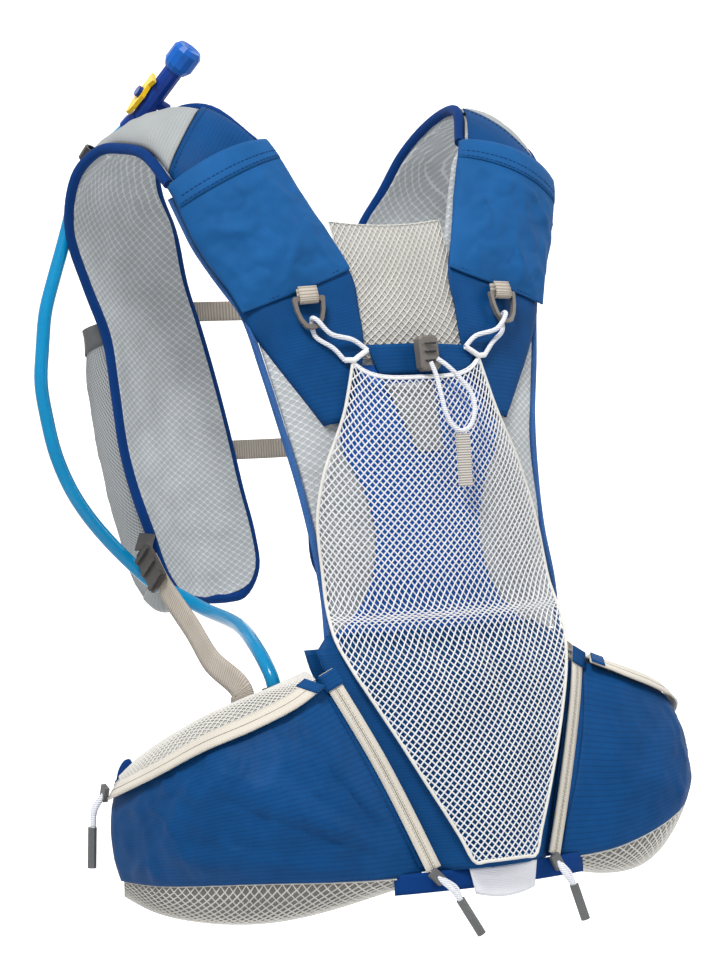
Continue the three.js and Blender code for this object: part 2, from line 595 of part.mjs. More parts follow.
function netPoint(u, v) {
  const w = 2 * u - 1;
  const rise = NET_CORNER_RISE * Math.abs(w) ** 4;
  const first = NET_ROWS[0].drop * WAIST_DROP + NET_CORNER_RISE;
  const last = NET_ROWS[NET_ROWS.length - 1].drop * WAIST_DROP;
  const z = -(first + v * (last - first)) + rise * (1 - v) ** 3;
  const drop = -z / WAIST_DROP;
  const column = (name) => fromRows(NET_ROWS, 'drop', name, drop);
  const y = -THREE.MathUtils.lerp(column('middle'), column('edge'), w * w) * BODY_DEPTH;
  return vector(w * column('half') * SHOULDER_HALF, y, z);
}

// The net pocket, cut through by rows of gaps between its strands.
function stretchPocket() {
  const lines = (gaps) => {
    const places = [0];
    for (let i = 0; i < gaps; i += 1) {
      places.push((i + NET_STRAND_SHARE) / gaps, (i + 1 - NET_STRAND_SHARE) / gaps);
    }
    places.push(1);
    return places;
  };
  const [us, vs] = [lines(NET_GAPS_ACROSS), lines(NET_GAPS_ALONG)];
  const [across, along] = [us.length - 1, vs.length - 1];
  const point = (u, v) => netPoint(us[Math.round(u * across)], vs[Math.round(v * along)]);
  const solid = (i, j) => i % 2 === 0 || j % 2 === 0;
  return sheet({ across, along, point, thickness: NET, inside: STRAP_HEART, solid });
}

// A ring of points round the pack at one height. shrink moves it inwards for the inner wall.
function packRing(drop, shrink) {
  const column = (name) => fromRows(PACK_ROWS, 'drop', name, drop);
  const half = column('half') * HIP_HALF - shrink;
  const outer = -column('middle') * PACK_DEPTH + shrink;
  const edge = -column('edge') * PACK_DEPTH + shrink * 0.7;
  const body = -column('body') * PACK_DEPTH - shrink;
  const z = -WAIST_DROP - drop * HIP_RISE;
  const ring = [];
  for (let i = 0; i <= 8; i += 1) {
    const w = -1 + i / 4;
    ring.push(vector(w * half, THREE.MathUtils.lerp(outer, edge, Math.abs(w) ** 2.2), z));
  }
  for (let i = 1; i < 8; i += 1) {
    const w = 1 - i / 4;
    ring.push(vector(w * half, body, z));
  }
  return ring;
}

function lumbarPack() {
  const drops = [0.006, 0.25, 0.5, 0.75, 0.95];
  const outer = [...drops].reverse().map((drop) => packRing(drop, 0));
  const inner = drops.map((drop) => packRing(Math.min(drop, 0.93), PACK_WALL));
  const floor = (drop, shrink) => {
    const ring = packRing(drop, shrink);
    const centre = ring.reduce((sum, p) => sum.add(p), vector(0, 0, 0)).divideScalar(ring.length);
    return centre;
  };
  const low = floor(0.98, 0);
  return loft([...outer, ...inner], low, floor(0.94, PACK_WALL));
}

// Catmull-Rom across the ribs of a wing, for one corner of each rib.
function ribCurve(xKey, yKey, dropKey) {
  return new THREE.CatmullRomCurve3(WING_RIBS.map((rib) => vector(
    rib[xKey] * HIP_HALF,
    rib[yKey] * PACK_DEPTH,
    -WAIST_DROP - (typeof dropKey === 'string' ? rib[dropKey] : dropKey(rib)) * HIP_RISE,
  )), false, 'catmullrom', 0.5);
}

const wingTop = ribCurve('topX', 'topY', 'topDrop');
const wingMiddle = ribCurve('midX', 'midY', (rib) => (rib.topDrop + 1) / 2);
const wingHem = ribCurve('hemX', 'hemY', () => 1);
const wingBodyTop = ribCurve('bodyX', 'bodyY', 'bodyDrop');
const wingBodyHem = ribCurve('bodyHemX', 'bodyHemY', () => 1.03);
const WING_HEART = vector(0, -0.2 * PACK_DEPTH, -WAIST_DROP - 0.6 * HIP_RISE);

const mirrored = (point, side) => vector(point.x * side, point.y, point.z);

// v runs from the zip down to the hem, through the bulge of the middle.
function wingFace(u, v) {
  const top = wingTop.getPoint(u);
  const middle = wingMiddle.getPoint(u);
  const hem = wingHem.getPoint(u);
  const control = middle.multiplyScalar(2).addScaledVector(top, -0.5).addScaledVector(hem, -0.5);
  return new THREE.QuadraticBezierCurve3(top, control, hem).getPoint(v);
}

function wingFront(side) {
  const point = (u, v) => mirrored(wingFace(0.01 + u * 0.98, 0.03 + v * 0.96), side);
  return sheet({ across: 9, along: 5, point, thickness: CLOTH, inside: WING_HEART });
}

function wingBack(side) {
  const point = (u, v) => {
    const top = wingBodyTop.getPoint(0.02 + u * 0.97);
    const hem = wingBodyHem.getPoint(0.02 + u * 0.97);
    return mirrored(top.lerp(hem, 0.02 + 0.96 * v), side);
  };
  return sheet({ across: 10, along: 2, point, thickness: CLOTH, inside: WING_HEART });
}

function wingNet(side) {
  const point = (u, v) => {
    const share = 0.02 + u * 0.94;
    const outer = wingTop.getPoint(share);
    const inner = wingBodyTop.getPoint(share);
    const spot = outer.lerp(inner, 0.02 + v * 0.9);
    spot.z += WING_CROWN * Math.sin(Math.PI * v) * Math.sin(Math.PI * share);
    return mirrored(spot, side);
  };
  const inside = vector(side * 0.7 * HIP_HALF, -0.5 * PACK_DEPTH, -WAIST_DROP - HIP_RISE);
  return sheet({ across: 10, along: 2, point, thickness: NET, inside });
}

// The net under a wing hangs from the outer hem and comes up to the body side.
function bottleNet(side) {
  const point = (u, v) => {
    const share = 0.06 + u * 0.92;
    const outer = wingHem.getPoint(share);
    const inner = wingBodyHem.getPoint(share);
    const spot = outer.lerp(inner, 0.015 + v * 0.945);
    const sag = Math.sin(Math.PI * v) ** 0.8 * (0.3 + 0.7 * Math.sin(Math.PI * share));
    spot.z -= GAP + BOTTLE_NET_DROP * sag;
    return mirrored(spot, side);
  };
  const inside = vector(side * 0.7 * HIP_HALF, -0.5 * PACK_DEPTH, -WAIST_DROP);
  return sheet({ across: 9, along: 3, point, thickness: NET, inside });
}

const ZIP_LIFT = 3.4; // from the edge of a wing to the body side of its zip

function wingZip(side) {
  const route = [];
  for (let i = 0; i <= 12; i += 1) {
    const share = 0.03 + 0.95 * (i / 12);
    const spot = wingFace(share, 0.03);
    const lift = spot.clone().sub(WING_HEART).setZ(0).normalize().multiplyScalar(0.7).setZ(0.7);
    route.push(mirrored(spot.addScaledVector(lift, ZIP_LIFT), side));
  }
  const face = (v) => {
    const spot = route[Math.round(v * 12)].clone().sub(WING_HEART).setZ(0).normalize();
    return spot.multiplyScalar(0.75).setZ(0.65);
  };
  return strap({
    route, width: ZIP_TAPE, thickness: ZIP_THICKNESS, steps: 14, face,
    inside: vector(0, -0.2 * PACK_DEPTH, -WAIST_DROP - 2 * HIP_RISE),
  });
}

// The centre line of the zip between the pack and a wing.
const ZIP_STANDOFF = 5;
const PACK_ZIP_LINE = [0.1, 0.3, 0.5, 0.7, 0.9, 0.99].map((drop) => {
  const column = (name) => fromRows(PACK_ROWS, 'drop', name, drop);
  const x = column('half') * HIP_HALF + 2;
  return vector(x, -column('edge') * PACK_DEPTH - ZIP_STANDOFF, -WAIST_DROP - drop * HIP_RISE);
});

function packZip(side) {
  const route = PACK_ZIP_LINE.map((spot) => mirrored(spot, side));
  const face = () => vector(side * 0.3, -0.95, 0);
  return strap({
    route, width: ZIP_TAPE, thickness: ZIP_THICKNESS, steps: 8, face,
    inside: vector(0, 0, -WAIST_DROP - 0.5 * HIP_RISE),
  });
}

// A zip slider with its loop of cord and the grey tube on it, hanging along a short route.
function zipPull(start, knee, tubeStart, tubeEnd, face) {
  const slider = new THREE.BoxGeometry(6, 9, 3);
  const down = knee.clone().sub(start).normalize();
  const cross = down.clone().cross(face).normalize();
  const body = placed(slider, start, cross, face);
  const cord = rod([start, knee, tubeStart.clone().lerp(tubeEnd, 0.15)], PULL_CORD_RADIUS, 6, 6);
  const tube = rod([tubeStart, tubeStart.clone().lerp(tubeEnd, 0.5), tubeEnd], PULL_TUBE_RADIUS, 8, 2);
  return joined([body, cord, tube]);
}

// A ring with a flat top bar, drawn as a rounded triangle with a hole.
function ringShape() {
  const half = RING_SIZE * 0.5;
  const outline = (inset) => {
    const path = new THREE.Shape();
    const w = half - inset;
    const top = RING_SIZE / 2 - inset;
    const low = -RING_SIZE / 2 + inset;
    path.moveTo(-w, top - 1);
    path.lineTo(-w + 1, top);
    path.lineTo(w - 1, top);
    path.lineTo(w, top - 1);
    path.quadraticCurveTo(w * 0.95, low * 0.3, w * 0.45, low + 1.2);
    path.quadraticCurveTo(0, low - 1, -w * 0.45, low + 1.2);
    path.quadraticCurveTo(-w * 0.95, low * 0.3, -w, top - 1);
    return path;
  };
  const shape = outline(0);
  shape.holes.push(new THREE.Path(outline(RING_BAR).getPoints(3).reverse()));
  return new THREE.ExtrudeGeometry(shape, { depth: RING_BAR, bevelEnabled: false, curveSegments: 3 })
    .translate(0, 0, -RING_BAR / 2);
}

const RING_X = 0.423 * SHOULDER_HALF;
const RING_TAB_TOP = -0.415 * FRONT_DROP;
const RING_Z = RING_TAB_TOP - 0.5 * RING_SIZE - 4;
const RING_OFF = OVER_YOKE + WEBBING + 3 * GAP + RING_BAR / 2 + 1;

function ring(side) {
  const normal = backNormal(side * RING_X, RING_Z);
  return placed(ringShape(), back(side * RING_X, RING_Z, RING_OFF), vector(1, 0, 0), normal);
}

// The webbing tab goes down behind the ring's bar, round it and up again. It is drawn in the ring's own frame.
function ringTab(side) {
  const turn = RING_BAR / 2 + 2 * GAP;
  const bar = (RING_SIZE - RING_BAR) / 2;
  const spots = [[7, -turn], [2.5, -turn], [0, -turn], [-turn * 0.75, -turn * 0.75], [-turn, 0],
    [-turn * 0.75, turn * 0.75], [0, turn], [3, turn], [7, turn * 0.4]];
  const curve = new THREE.CatmullRomCurve3(spots.map(([up, out]) => vector(0, bar + up, out)), false, 'centripetal');
  const point = (u, v) => curve.getPoint(v).add(vector((u - 0.5) * RING_TAB_WIDTH, 0, 0));
  const tab = sheet({ across: 1, along: 12, point, thickness: WEBBING, inside: vector(0, bar, 0) });
  const normal = backNormal(side * RING_X, RING_Z);
  return placed(tab, back(side * RING_X, RING_Z, RING_OFF), vector(1, 0, 0), normal);
}

// The elastic cord runs from the net's corner through the ring and back.
function elasticCord(side) {
  const low = -NET_ROWS[0].drop * WAIST_DROP;
  const half = NET_ROWS[0].half * SHOULDER_HALF;
  const inRing = RING_Z - RING_SIZE * 0.24;
  const spots = [
    [half + 4, low - 1, OVER_YOKE + CORD_RADIUS + GAP],
    [half + 10, low + 6, OVER_YOKE + CORD_RADIUS + 1],
    [RING_X - 1.5, RING_Z - RING_SIZE * 0.62, OVER_YOKE + CORD_RADIUS + GAP],
    [RING_X - 0.6, inRing, OVER_YOKE + CORD_RADIUS + GAP + 0.4],
    [RING_X - 0.4, inRing + 1.8, RING_OFF],
    [RING_X - 2, inRing, RING_OFF + RING_BAR / 2 + CORD_RADIUS + GAP],
    [RING_X - 9, RING_Z - RING_SIZE * 0.62, RING_OFF + 2],
    [half - 2, low + 10, OVER_YOKE + CORD_RADIUS + 2],
    [half - 10, low + 4, OVER_YOKE + CORD_RADIUS + WEBBING + 2 * GAP],
  ];
  return rod(spots.map(([x, z, off]) => back(side * x, z, off)), CORD_RADIUS, 5, 16);
}

const BAND_TOP = -0.481 * WAIST_DROP;
const BAND_LEFT = -0.21 * SHOULDER_HALF;
const BAND_RIGHT = 0.27 * SHOULDER_HALF;
const BAND_OFF = OVER_YOKE;

function cordBand() {
  const point = (u, v) => {
    const x = THREE.MathUtils.lerp(BAND_LEFT + 6 * v, BAND_RIGHT - 5 * v, u);
    return back(x, BAND_TOP - 5 * Math.max(0, u - 0.5) - v * BAND_HEIGHT, BAND_OFF);
  };
  return sheet({ across: 6, along: 2, point, thickness: WEBBING, inside: STRAP_HEART });
}

const LOCK_X = 0.03 * SHOULDER_HALF;
const LOCK_Z = BAND_TOP - 7;
const LOCK_OFF = BAND_OFF + WEBBING + GAP + CORD_LOCK_DEPTH / 2;

function cordLock() {
  const [w, h] = [CORD_LOCK_WIDTH / 2, CORD_LOCK_HEIGHT / 2];
  const shape = new THREE.Shape();
  shape.moveTo(-w, -h + 2).lineTo(-w + 2, -h).lineTo(w - 2, -h).lineTo(w, -h + 2);
  shape.lineTo(w, h - 2).lineTo(w - 2, h).lineTo(-w + 2, h).lineTo(-w, h - 2).closePath();
  const body = new THREE.ExtrudeGeometry(shape, {
    depth: CORD_LOCK_DEPTH - 2, bevelThickness: 1, bevelSize: 1, bevelOffset: -1, bevelSegments: 1,
  }).translate(0, 0, -CORD_LOCK_DEPTH / 2 + 1);
  return placed(body, back(LOCK_X, LOCK_Z, LOCK_OFF), vector(1, 0, 0), backNormal(LOCK_X, LOCK_Z));
}

// The white loop hangs from the lock to the ribbed tab. Its route points are chosen by hand.
const LOOP_ROUTE = [
  [2, -113, -172], [4, -115, -180], [5, -117, -190], [7, -119, -203], [11, -120, -211],
  [16, -120.5, -213.5], [22, -120, -211], [26, -119.5, -203], [26, -118, -193], [21, -116, -184],
  [13, -114, -175], [7, -112, -170],
];
const LOOP_KNOT = LOOP_ROUTE[5];

function cordLoop() {
  return rod(LOOP_ROUTE.map((spot) => vector(...spot)), CORD_RADIUS, 5, 20);
}

function pullTab() {
  const shape = new THREE.BoxGeometry(PULL_TAB_WIDTH, PULL_TAB_LENGTH, PULL_TAB_DEPTH, 1, 1, 1);
  const top = vector(...LOOP_KNOT);
  const middle = top.clone().add(vector(0, -0.5, -PULL_TAB_LENGTH / 2 - CORD_RADIUS - GAP));
  return placed(shape, middle, vector(1, 0, 0), vector(0.1, -1, 0));
}

function reflectiveTab() {
  const point = (u, v) => {
    const half = THREE.MathUtils.lerp(0.145, 0.13, v) * SHOULDER_HALF;
    const x = (2 * u - 1) * half + 3;
    const y = -PACK_DEPTH * THREE.MathUtils.lerp(0.968, 0.975, v) + (2 * u - 1) ** 2;
    return vector(x, y, -WAIST_DROP - HIP_RISE * THREE.MathUtils.lerp(1.0, 1.14, v));
  };
  return sheet({ across: 2, along: 2, point, thickness: CLOTH, inside: vector(0, 0, -WAIST_DROP) });
}

function bottomBand() {
  const point = (u, v) => {
    const w = 2 * u - 1;
    const y = -PACK_DEPTH * (0.955 - 0.057 * w * w);
    return vector(w * 0.365 * HIP_HALF, y, -WAIST_DROP - HIP_RISE * THREE.MathUtils.lerp(1.02, 1.1, v));
  };
  return sheet({ across: 8, along: 1, point, thickness: CLOTH, inside: vector(0, 0, -WAIST_DROP) });
}

// The side strap leaves the front panel's ladder lock and goes down to the wing.
// x: share of SHOULDER_HALF, y: share of BODY_DEPTH, drop: share of FRONT_DROP.
const SIDE_STRAP_ROUTE = [
  { x: 0.732, y: 0.547, drop: 0.903 }, { x: 0.727, y: 0.52, drop: 0.916 }, { x: 0.71, y: 0.42, drop: 0.964 },
  { x: 0.704, y: 0.1, drop: 1.04 }, { x: 0.735, y: -0.24, drop: 1.1 },
];
const STRAP_SEAT = 0.39; // where the strap is sewn to the wing, from the pack to its front end
const lockFace = (side) => vector(side, 0.05, 0.2).normalize();

function sideStrapRoute(side) {
  const spots = SIDE_STRAP_ROUTE.map(({ x, y, drop }) => vector(
    side * x * SHOULDER_HALF, y * BODY_DEPTH, -drop * FRONT_DROP));
  const seat = mirrored(wingBodyTop.getPoint(STRAP_SEAT), side);
  const inward = vector(-side * 0.77, 0.64, 0).multiplyScalar(WEBBING + 4 * GAP);
  return [...spots, seat.clone().add(inward).add(vector(0, 0, 4)), seat.clone().add(inward).add(vector(0, 0, -7))];
}

function sideStrap(side) {
  const end = vector(side * 0.77, -0.64, 0);
  return strap({
    route: sideStrapRoute(side), width: SIDE_STRAP_WIDTH, thickness: WEBBING, steps: 12,
    inside: vector(0, 0.15 * BODY_DEPTH, -1.02 * FRONT_DROP),
    face: (v) => lockFace(side).lerp(end, THREE.MathUtils.smoothstep(v, 0.3, 1)),
  });
}

// The lock lies on the outside of the strap. A short loop of webbing holds it to the front panel's edge.
function ladderLock(side) {
  const [w, h] = [LADDER_WIDTH / 2, LADDER_LENGTH / 2];
  const shape = new THREE.Shape();
  shape.moveTo(-w, -h + 1).lineTo(-w + 1, -h).lineTo(w - 1, -h).lineTo(w, -h + 1);
  shape.lineTo(w, h - 4).lineTo(w - 3, h).lineTo(-w + 3, h).lineTo(-w, h - 4).closePath();
  const plate = new THREE.ExtrudeGeometry(shape, { depth: LADDER_DEPTH * 0.6, bevelEnabled: false });
  const bars = [-h + 3, 0, h - 4].map((place) => new THREE.BoxGeometry(LADDER_WIDTH - 2, 2.6, LADDER_DEPTH)
    .translate(0, place, LADDER_DEPTH * 0.7));
  const body = joined([plate, ...bars]);
  const [top, start, next] = sideStrapRoute(side);
  const along = top.clone().sub(next).normalize();
  const out = lockFace(side);
  out.addScaledVector(along, -out.dot(along)).normalize();
  const origin = start.clone().addScaledVector(out, WEBBING + 4 * GAP);
  const lock = placed(body, origin, along.clone().cross(out), out);
  const bar = origin.clone().addScaledVector(along, h - 1.5).addScaledVector(out, LADDER_DEPTH * 0.3);
  const edge = strapPoint(1, LOOP_ROW, PAD / 2, side).add(vector(side * (GAP + 0.3), -0.5, 0));
  const hold = strap({
    route: [bar, bar.clone().lerp(edge, 0.5), edge], width: 10, thickness: WEBBING, steps: 2,
    inside: vector(0, 0, -2 * FRONT_DROP), face: () => vector(side * 0.1, -0.5, 1),
  });
  return joined([lock, hold]);
}
const LOOP_ROW = 17.1; // where that loop is sewn to the front panel, in rows

// A chest strap between the front panels, with a plain closed clasp at its middle.
function chestStrap(row) {
  const end = strapPoint(0.22, row, PAD + 4 * GAP, 1);
  const near = strapPoint(0.02, row, PAD + 6 * GAP, 1);
  const middle = vector(0, near.y + 3, near.z);
  const route = [mirrored(end, -1), mirrored(near, -1), middle, near, end];
  const band = strap({
    route, width: CHEST_STRAP_WIDTH, thickness: WEBBING, steps: 12,
    inside: vector(0, -BODY_DEPTH, near.z), face: () => vector(0, 1, 0),
  });
  const clasp = new THREE.BoxGeometry(CLASP_LENGTH, CLASP_THICKNESS, CHEST_STRAP_WIDTH + 4);
  clasp.translate(CLASP_SHIFT, middle.y + CLASP_THICKNESS / 2 - 0.5, middle.z);
  return joined([band, clasp]);
}

// Valve parts are drawn along their own Z, from the tube's end to the mouth.
const valveStart = vector(...VALVE_START);
const valveAxis = vector(...VALVE_END).sub(valveStart).normalize();
const barrelAxis = vector(-0.8, 0.42, -0.2).addScaledVector(valveAxis, -vector(-0.8, 0.42, -0.2).dot(valveAxis))
  .normalize();

function onValve(geometry) {
  return placed(geometry, valveStart, barrelAxis, valveAxis);
}

function lathe(profile, sides) {
  return new THREE.LatheGeometry(profile.map(([r, h]) => new THREE.Vector2(r, h)), sides)
    .rotateX(Math.PI / 2);
}

const BARREL_HEIGHT = VALVE_LENGTH * 0.36;

function biteValve() {
  const body = lathe([[0, 0], [TUBE_RADIUS + 0.6, 0], [TUBE_RADIUS + 1.2, 5], [VALVE_RADIUS, 9],
    [VALVE_RADIUS, VALVE_LENGTH - 1], [0, VALVE_LENGTH - 1]], 12);
  const barrel = new THREE.CylinderGeometry(BARREL_RADIUS, BARREL_RADIUS, 2 * BARREL_REACH, 12)
    .rotateZ(Math.PI / 2).translate(0, 0, BARREL_HEIGHT);
  return onValve(joined([body, barrel]));
}

function mouthpiece() {
  const start = VALVE_LENGTH - 1 + GAP;
  const wall = 2;
  return onValve(lathe([[0, start], [VALVE_RADIUS + 1, start], [MOUTH_RADIUS, start + 4],
    [MOUTH_RADIUS, start + MOUTH_LENGTH - 3], [MOUTH_RADIUS - 2, start + MOUTH_LENGTH],
    [2.5, start + MOUTH_LENGTH - 1], [0, start + MOUTH_LENGTH - wall]], 14));
}

// The lever is a curved blade that turns on the end of the barrel.
function shutoffLever() {
  const tip = LEVER_LENGTH / 2;
  const w = LEVER_WIDTH / 2;
  const shape = new THREE.Shape();
  shape.moveTo(0, -tip - 3);
  shape.quadraticCurveTo(w, -tip + 1, w, -tip + 6);
  shape.lineTo(w * 1.25, 0);
  shape.lineTo(w * 0.75, tip - 5);
  shape.lineTo(w + 2, tip);
  shape.lineTo(-w, tip + 1);
  shape.lineTo(-w * 0.9, tip - 6);
  shape.lineTo(-w * 1.25, 0);
  shape.quadraticCurveTo(-w * 1.2, -tip + 4, 0, -tip - 3);
  const hole = new THREE.Path();
  hole.absarc(0, 0, BARREL_RADIUS + GAP, 0, Math.PI * 2, true);
  shape.holes.push(hole);
  const blade = new THREE.ExtrudeGeometry(shape, {
    depth: LEVER_THICKNESS, bevelEnabled: false, curveSegments: 5,
  });
  blade.rotateX(Math.PI / 2).rotateZ(Math.PI / 2);
  blade.translate(VALVE_RADIUS + GAP, 0, BARREL_HEIGHT);
  return onValve(blade);
}

function tubeKeeper() {
  const route = TUBE_ROUTE.slice(22, 25).map((spot) => vector(...spot));
  const centre = route[1];
  const along = route[2].clone().sub(route[0]).normalize();
  const outer = new THREE.Shape().absarc(0, 0, TUBE_RADIUS + 2.4, 0, Math.PI * 2, false);
  const hole = new THREE.Path().absarc(0, 0, TUBE_RADIUS + 0.9, 0, Math.PI * 2, true);
  outer.holes.push(hole);
  const collar = new THREE.ExtrudeGeometry(outer, { depth: 9, bevelEnabled: false, curveSegments: 6 })
    .translate(0, 0, -4.5);
  return placed(collar, centre, vector(1, 0, 0), along);
}

function tubePort() {
  const [first, second] = TUBE_ROUTE.slice(0, 2).map((spot) => vector(...spot));
  const along = second.clone().sub(first).normalize();
  const outer = new THREE.Shape().absarc(0, 0, TUBE_RADIUS + 3, 0, Math.PI * 2, false);
  const hole = new THREE.Path().absarc(0, 0, TUBE_RADIUS + 0.6, 0, Math.PI * 2, true);
  outer.holes.push(hole);
  const collar = new THREE.ExtrudeGeometry(outer, { depth: 5, bevelEnabled: false, curveSegments: 6 });
  return placed(collar, first.clone().addScaledVector(along, 1), vector(1, 0, 0), along);
}

addPiece('back_panel', backPanel(), 'airMesh');
addPiece('upper_back_mesh', upperBackMesh(), 'beigeNet');
addPiece('centre_panel', centrePanel(), 'blue');
addPiece('centre_tongue', centreTongue(), 'capCloth');
addPiece('stretch_pocket', stretchPocket(), 'net');
addPiece('lumbar_pack', lumbarPack(), 'blue');
addPiece('cord_band', cordBand(), 'blue');
addPiece('cord_lock', cordLock(), 'greyPlastic');
addPiece('cord_loop', cordLoop(), 'cord');
addPiece('pull_tab', pullTab(), 'cord');
addPiece('reflective_tab', reflectiveTab(), 'reflective');
addPiece('bottom_band', bottomBand(), 'deepBlue');
addPiece('chest_strap_upper', chestStrap(12.7), 'webbing');
addPiece('chest_strap_lower', chestStrap(15.4), 'webbing');

SIDES.forEach(({ name, side }) => {
  addPiece(`front_panel_${name}`, frontPanel(side), 'airMesh');
  addPiece(`binding_${name}`, binding(side), 'deepBlue');
  addPiece(`back_edge_${name}`, backEdge(side), 'deepBlue');
  addPiece(`yoke_${name}`, yoke(side), 'blue');
  addPiece(`shoulder_cap_${name}`, shoulderCap(side), 'capCloth');
  addPiece(`shoulder_pocket_${name}`, shoulderPocket(side), 'blue');
  addPiece(`front_pocket_${name}`, frontPocket(side), 'net');
  addPiece(`ring_tab_${name}`, ringTab(side), 'webbing');
  addPiece(`ring_${name}`, ring(side), 'greyPlastic');
  addPiece(`elastic_cord_${name}`, elasticCord(side), 'cord');
  addPiece(`wing_front_${name}`, wingFront(side), 'blue');
  addPiece(`wing_back_${name}`, wingBack(side), 'airMesh');
  addPiece(`wing_net_${name}`, wingNet(side), 'net');
  addPiece(`bottle_net_${name}`, bottleNet(side), 'net');
  addPiece(`wing_zip_${name}`, wingZip(side), 'zip');
  addPiece(`pack_zip_${name}`, packZip(side), 'zip');
  addPiece(`side_strap_${name}`, sideStrap(side), 'webbing');
  addPiece(`ladder_lock_${name}`, ladderLock(side), 'greyPlastic');

  const lean = side < 0 ? 0.5 : 0.25;
  const zipEnd = mirrored(PACK_ZIP_LINE[5], side).add(vector(0, -3.6, -4));
  addPiece(`pack_zip_pull_${name}`, zipPull(
    zipEnd, zipEnd.clone().add(vector(6 - side * 2, -3, -8)),
    zipEnd.clone().add(vector(10 - side * 2, -4, -14)),
    zipEnd.clone().add(vector(10 - side * 2 + lean * PULL_TUBE_LENGTH, -5, -14 - 0.87 * PULL_TUBE_LENGTH)),
    vector(0, -1, 0),
  ), 'pullTube');

  const wingEnd = mirrored(wingFace(0.985, 0.03), side).add(vector(side * (ZIP_LIFT + ZIP_THICKNESS + 2), 1, 2.5));
  addPiece(`wing_zip_pull_${name}`, zipPull(
    wingEnd, wingEnd.clone().add(vector(side * 5, 5, -10)),
    wingEnd.clone().add(vector(side * 6, 7, -20)),
    wingEnd.clone().add(vector(side * 7, 9, -20 - PULL_TUBE_LENGTH)),
    vector(side, 0, 0),
  ), 'pullTube');
});

addPiece('drinking_tube', rod(TUBE_ROUTE.map((spot) => vector(...spot)), TUBE_RADIUS, TUBE_SIDES, TUBE_STEPS),
  'tube');
addPiece('tube_keeper', tubeKeeper(), 'darkPlastic');
addPiece('tube_port', tubePort(), 'darkPlastic');
addPiece('bite_valve', biteValve(), 'valve');
addPiece('mouthpiece', mouthpiece(), 'valve');
addPiece('shutoff_lever', shutoffLever(), 'lever');

export default vest;
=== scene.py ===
"""Running hydration vest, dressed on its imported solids.

The tables hold shares of the sizes below. Lengths are in millimetres until a mesh takes them in metres.
"""
import math

import bmesh
import bpy
from bpy.props import FloatProperty, FloatVectorProperty
from mathutils import Matrix, Vector, noise


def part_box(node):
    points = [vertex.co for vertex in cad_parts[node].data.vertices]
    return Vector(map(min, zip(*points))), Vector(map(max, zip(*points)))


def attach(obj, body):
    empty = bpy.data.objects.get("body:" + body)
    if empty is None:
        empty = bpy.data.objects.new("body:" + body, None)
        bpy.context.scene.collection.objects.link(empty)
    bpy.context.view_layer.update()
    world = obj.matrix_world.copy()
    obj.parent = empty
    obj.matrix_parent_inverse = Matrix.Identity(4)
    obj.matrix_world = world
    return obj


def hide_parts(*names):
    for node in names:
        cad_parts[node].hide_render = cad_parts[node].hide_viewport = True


bl_info = {
    "name": "Running Hydration Vest",
    "version": (1, 0, 0),
    "blender": (4, 5, 0),
    "location": "View3D > Sidebar > Vest",
    "description": "Builds the cloth, nets, cords and fittings of a running hydration vest",
    "category": "Object",
}

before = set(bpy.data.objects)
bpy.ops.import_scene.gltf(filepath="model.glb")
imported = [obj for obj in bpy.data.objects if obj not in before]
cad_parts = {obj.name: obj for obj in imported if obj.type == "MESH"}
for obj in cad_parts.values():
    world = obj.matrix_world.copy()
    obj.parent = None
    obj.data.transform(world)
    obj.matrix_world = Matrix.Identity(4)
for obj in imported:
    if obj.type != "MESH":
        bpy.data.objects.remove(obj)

# the sizes that the tables' shares are taken of, then thicknesses and the space between layers
SHOULDER_HALF, BODY_DEPTH, FRONT_DROP = 150, 100, 310
HIP_HALF, PACK_DEPTH, WAIST_DROP, HIP_RISE = 180, 165, 335, 130
PAD, CLOTH, GAP, BINDING, EDGE_RADIUS = 5, 1.2, 0.3, 6.6, 2.2
# how far the centre panel, the yokes, and what lies over them stand off the back
CENTRE_OFF = PAD + 4 * GAP
YOKE_OFF = CENTRE_OFF + CLOTH + GAP
OVER_YOKE = YOKE_OFF + CLOTH + GAP
# webbing and zip tape, the elastic cords' radius, and the stand of the rings off the back
TAPE, CORD_RADIUS = 1.3, 1.4
RING_OFF = OVER_YOKE + TAPE + 0.9 + 2.3
RING_X, RING_Z = 0.423 * SHOULDER_HALF, -0.415 * FRONT_DROP - 14
# the line that the hip wings curve round, and a spot inside them
HIP_Y = -33
HIP_INSIDE = Vector((0, HIP_Y, -413))


def table(names, rows):
    """Rows of a table by the names of their columns."""
    return [dict(zip(names.split(), row)) for row in rows]


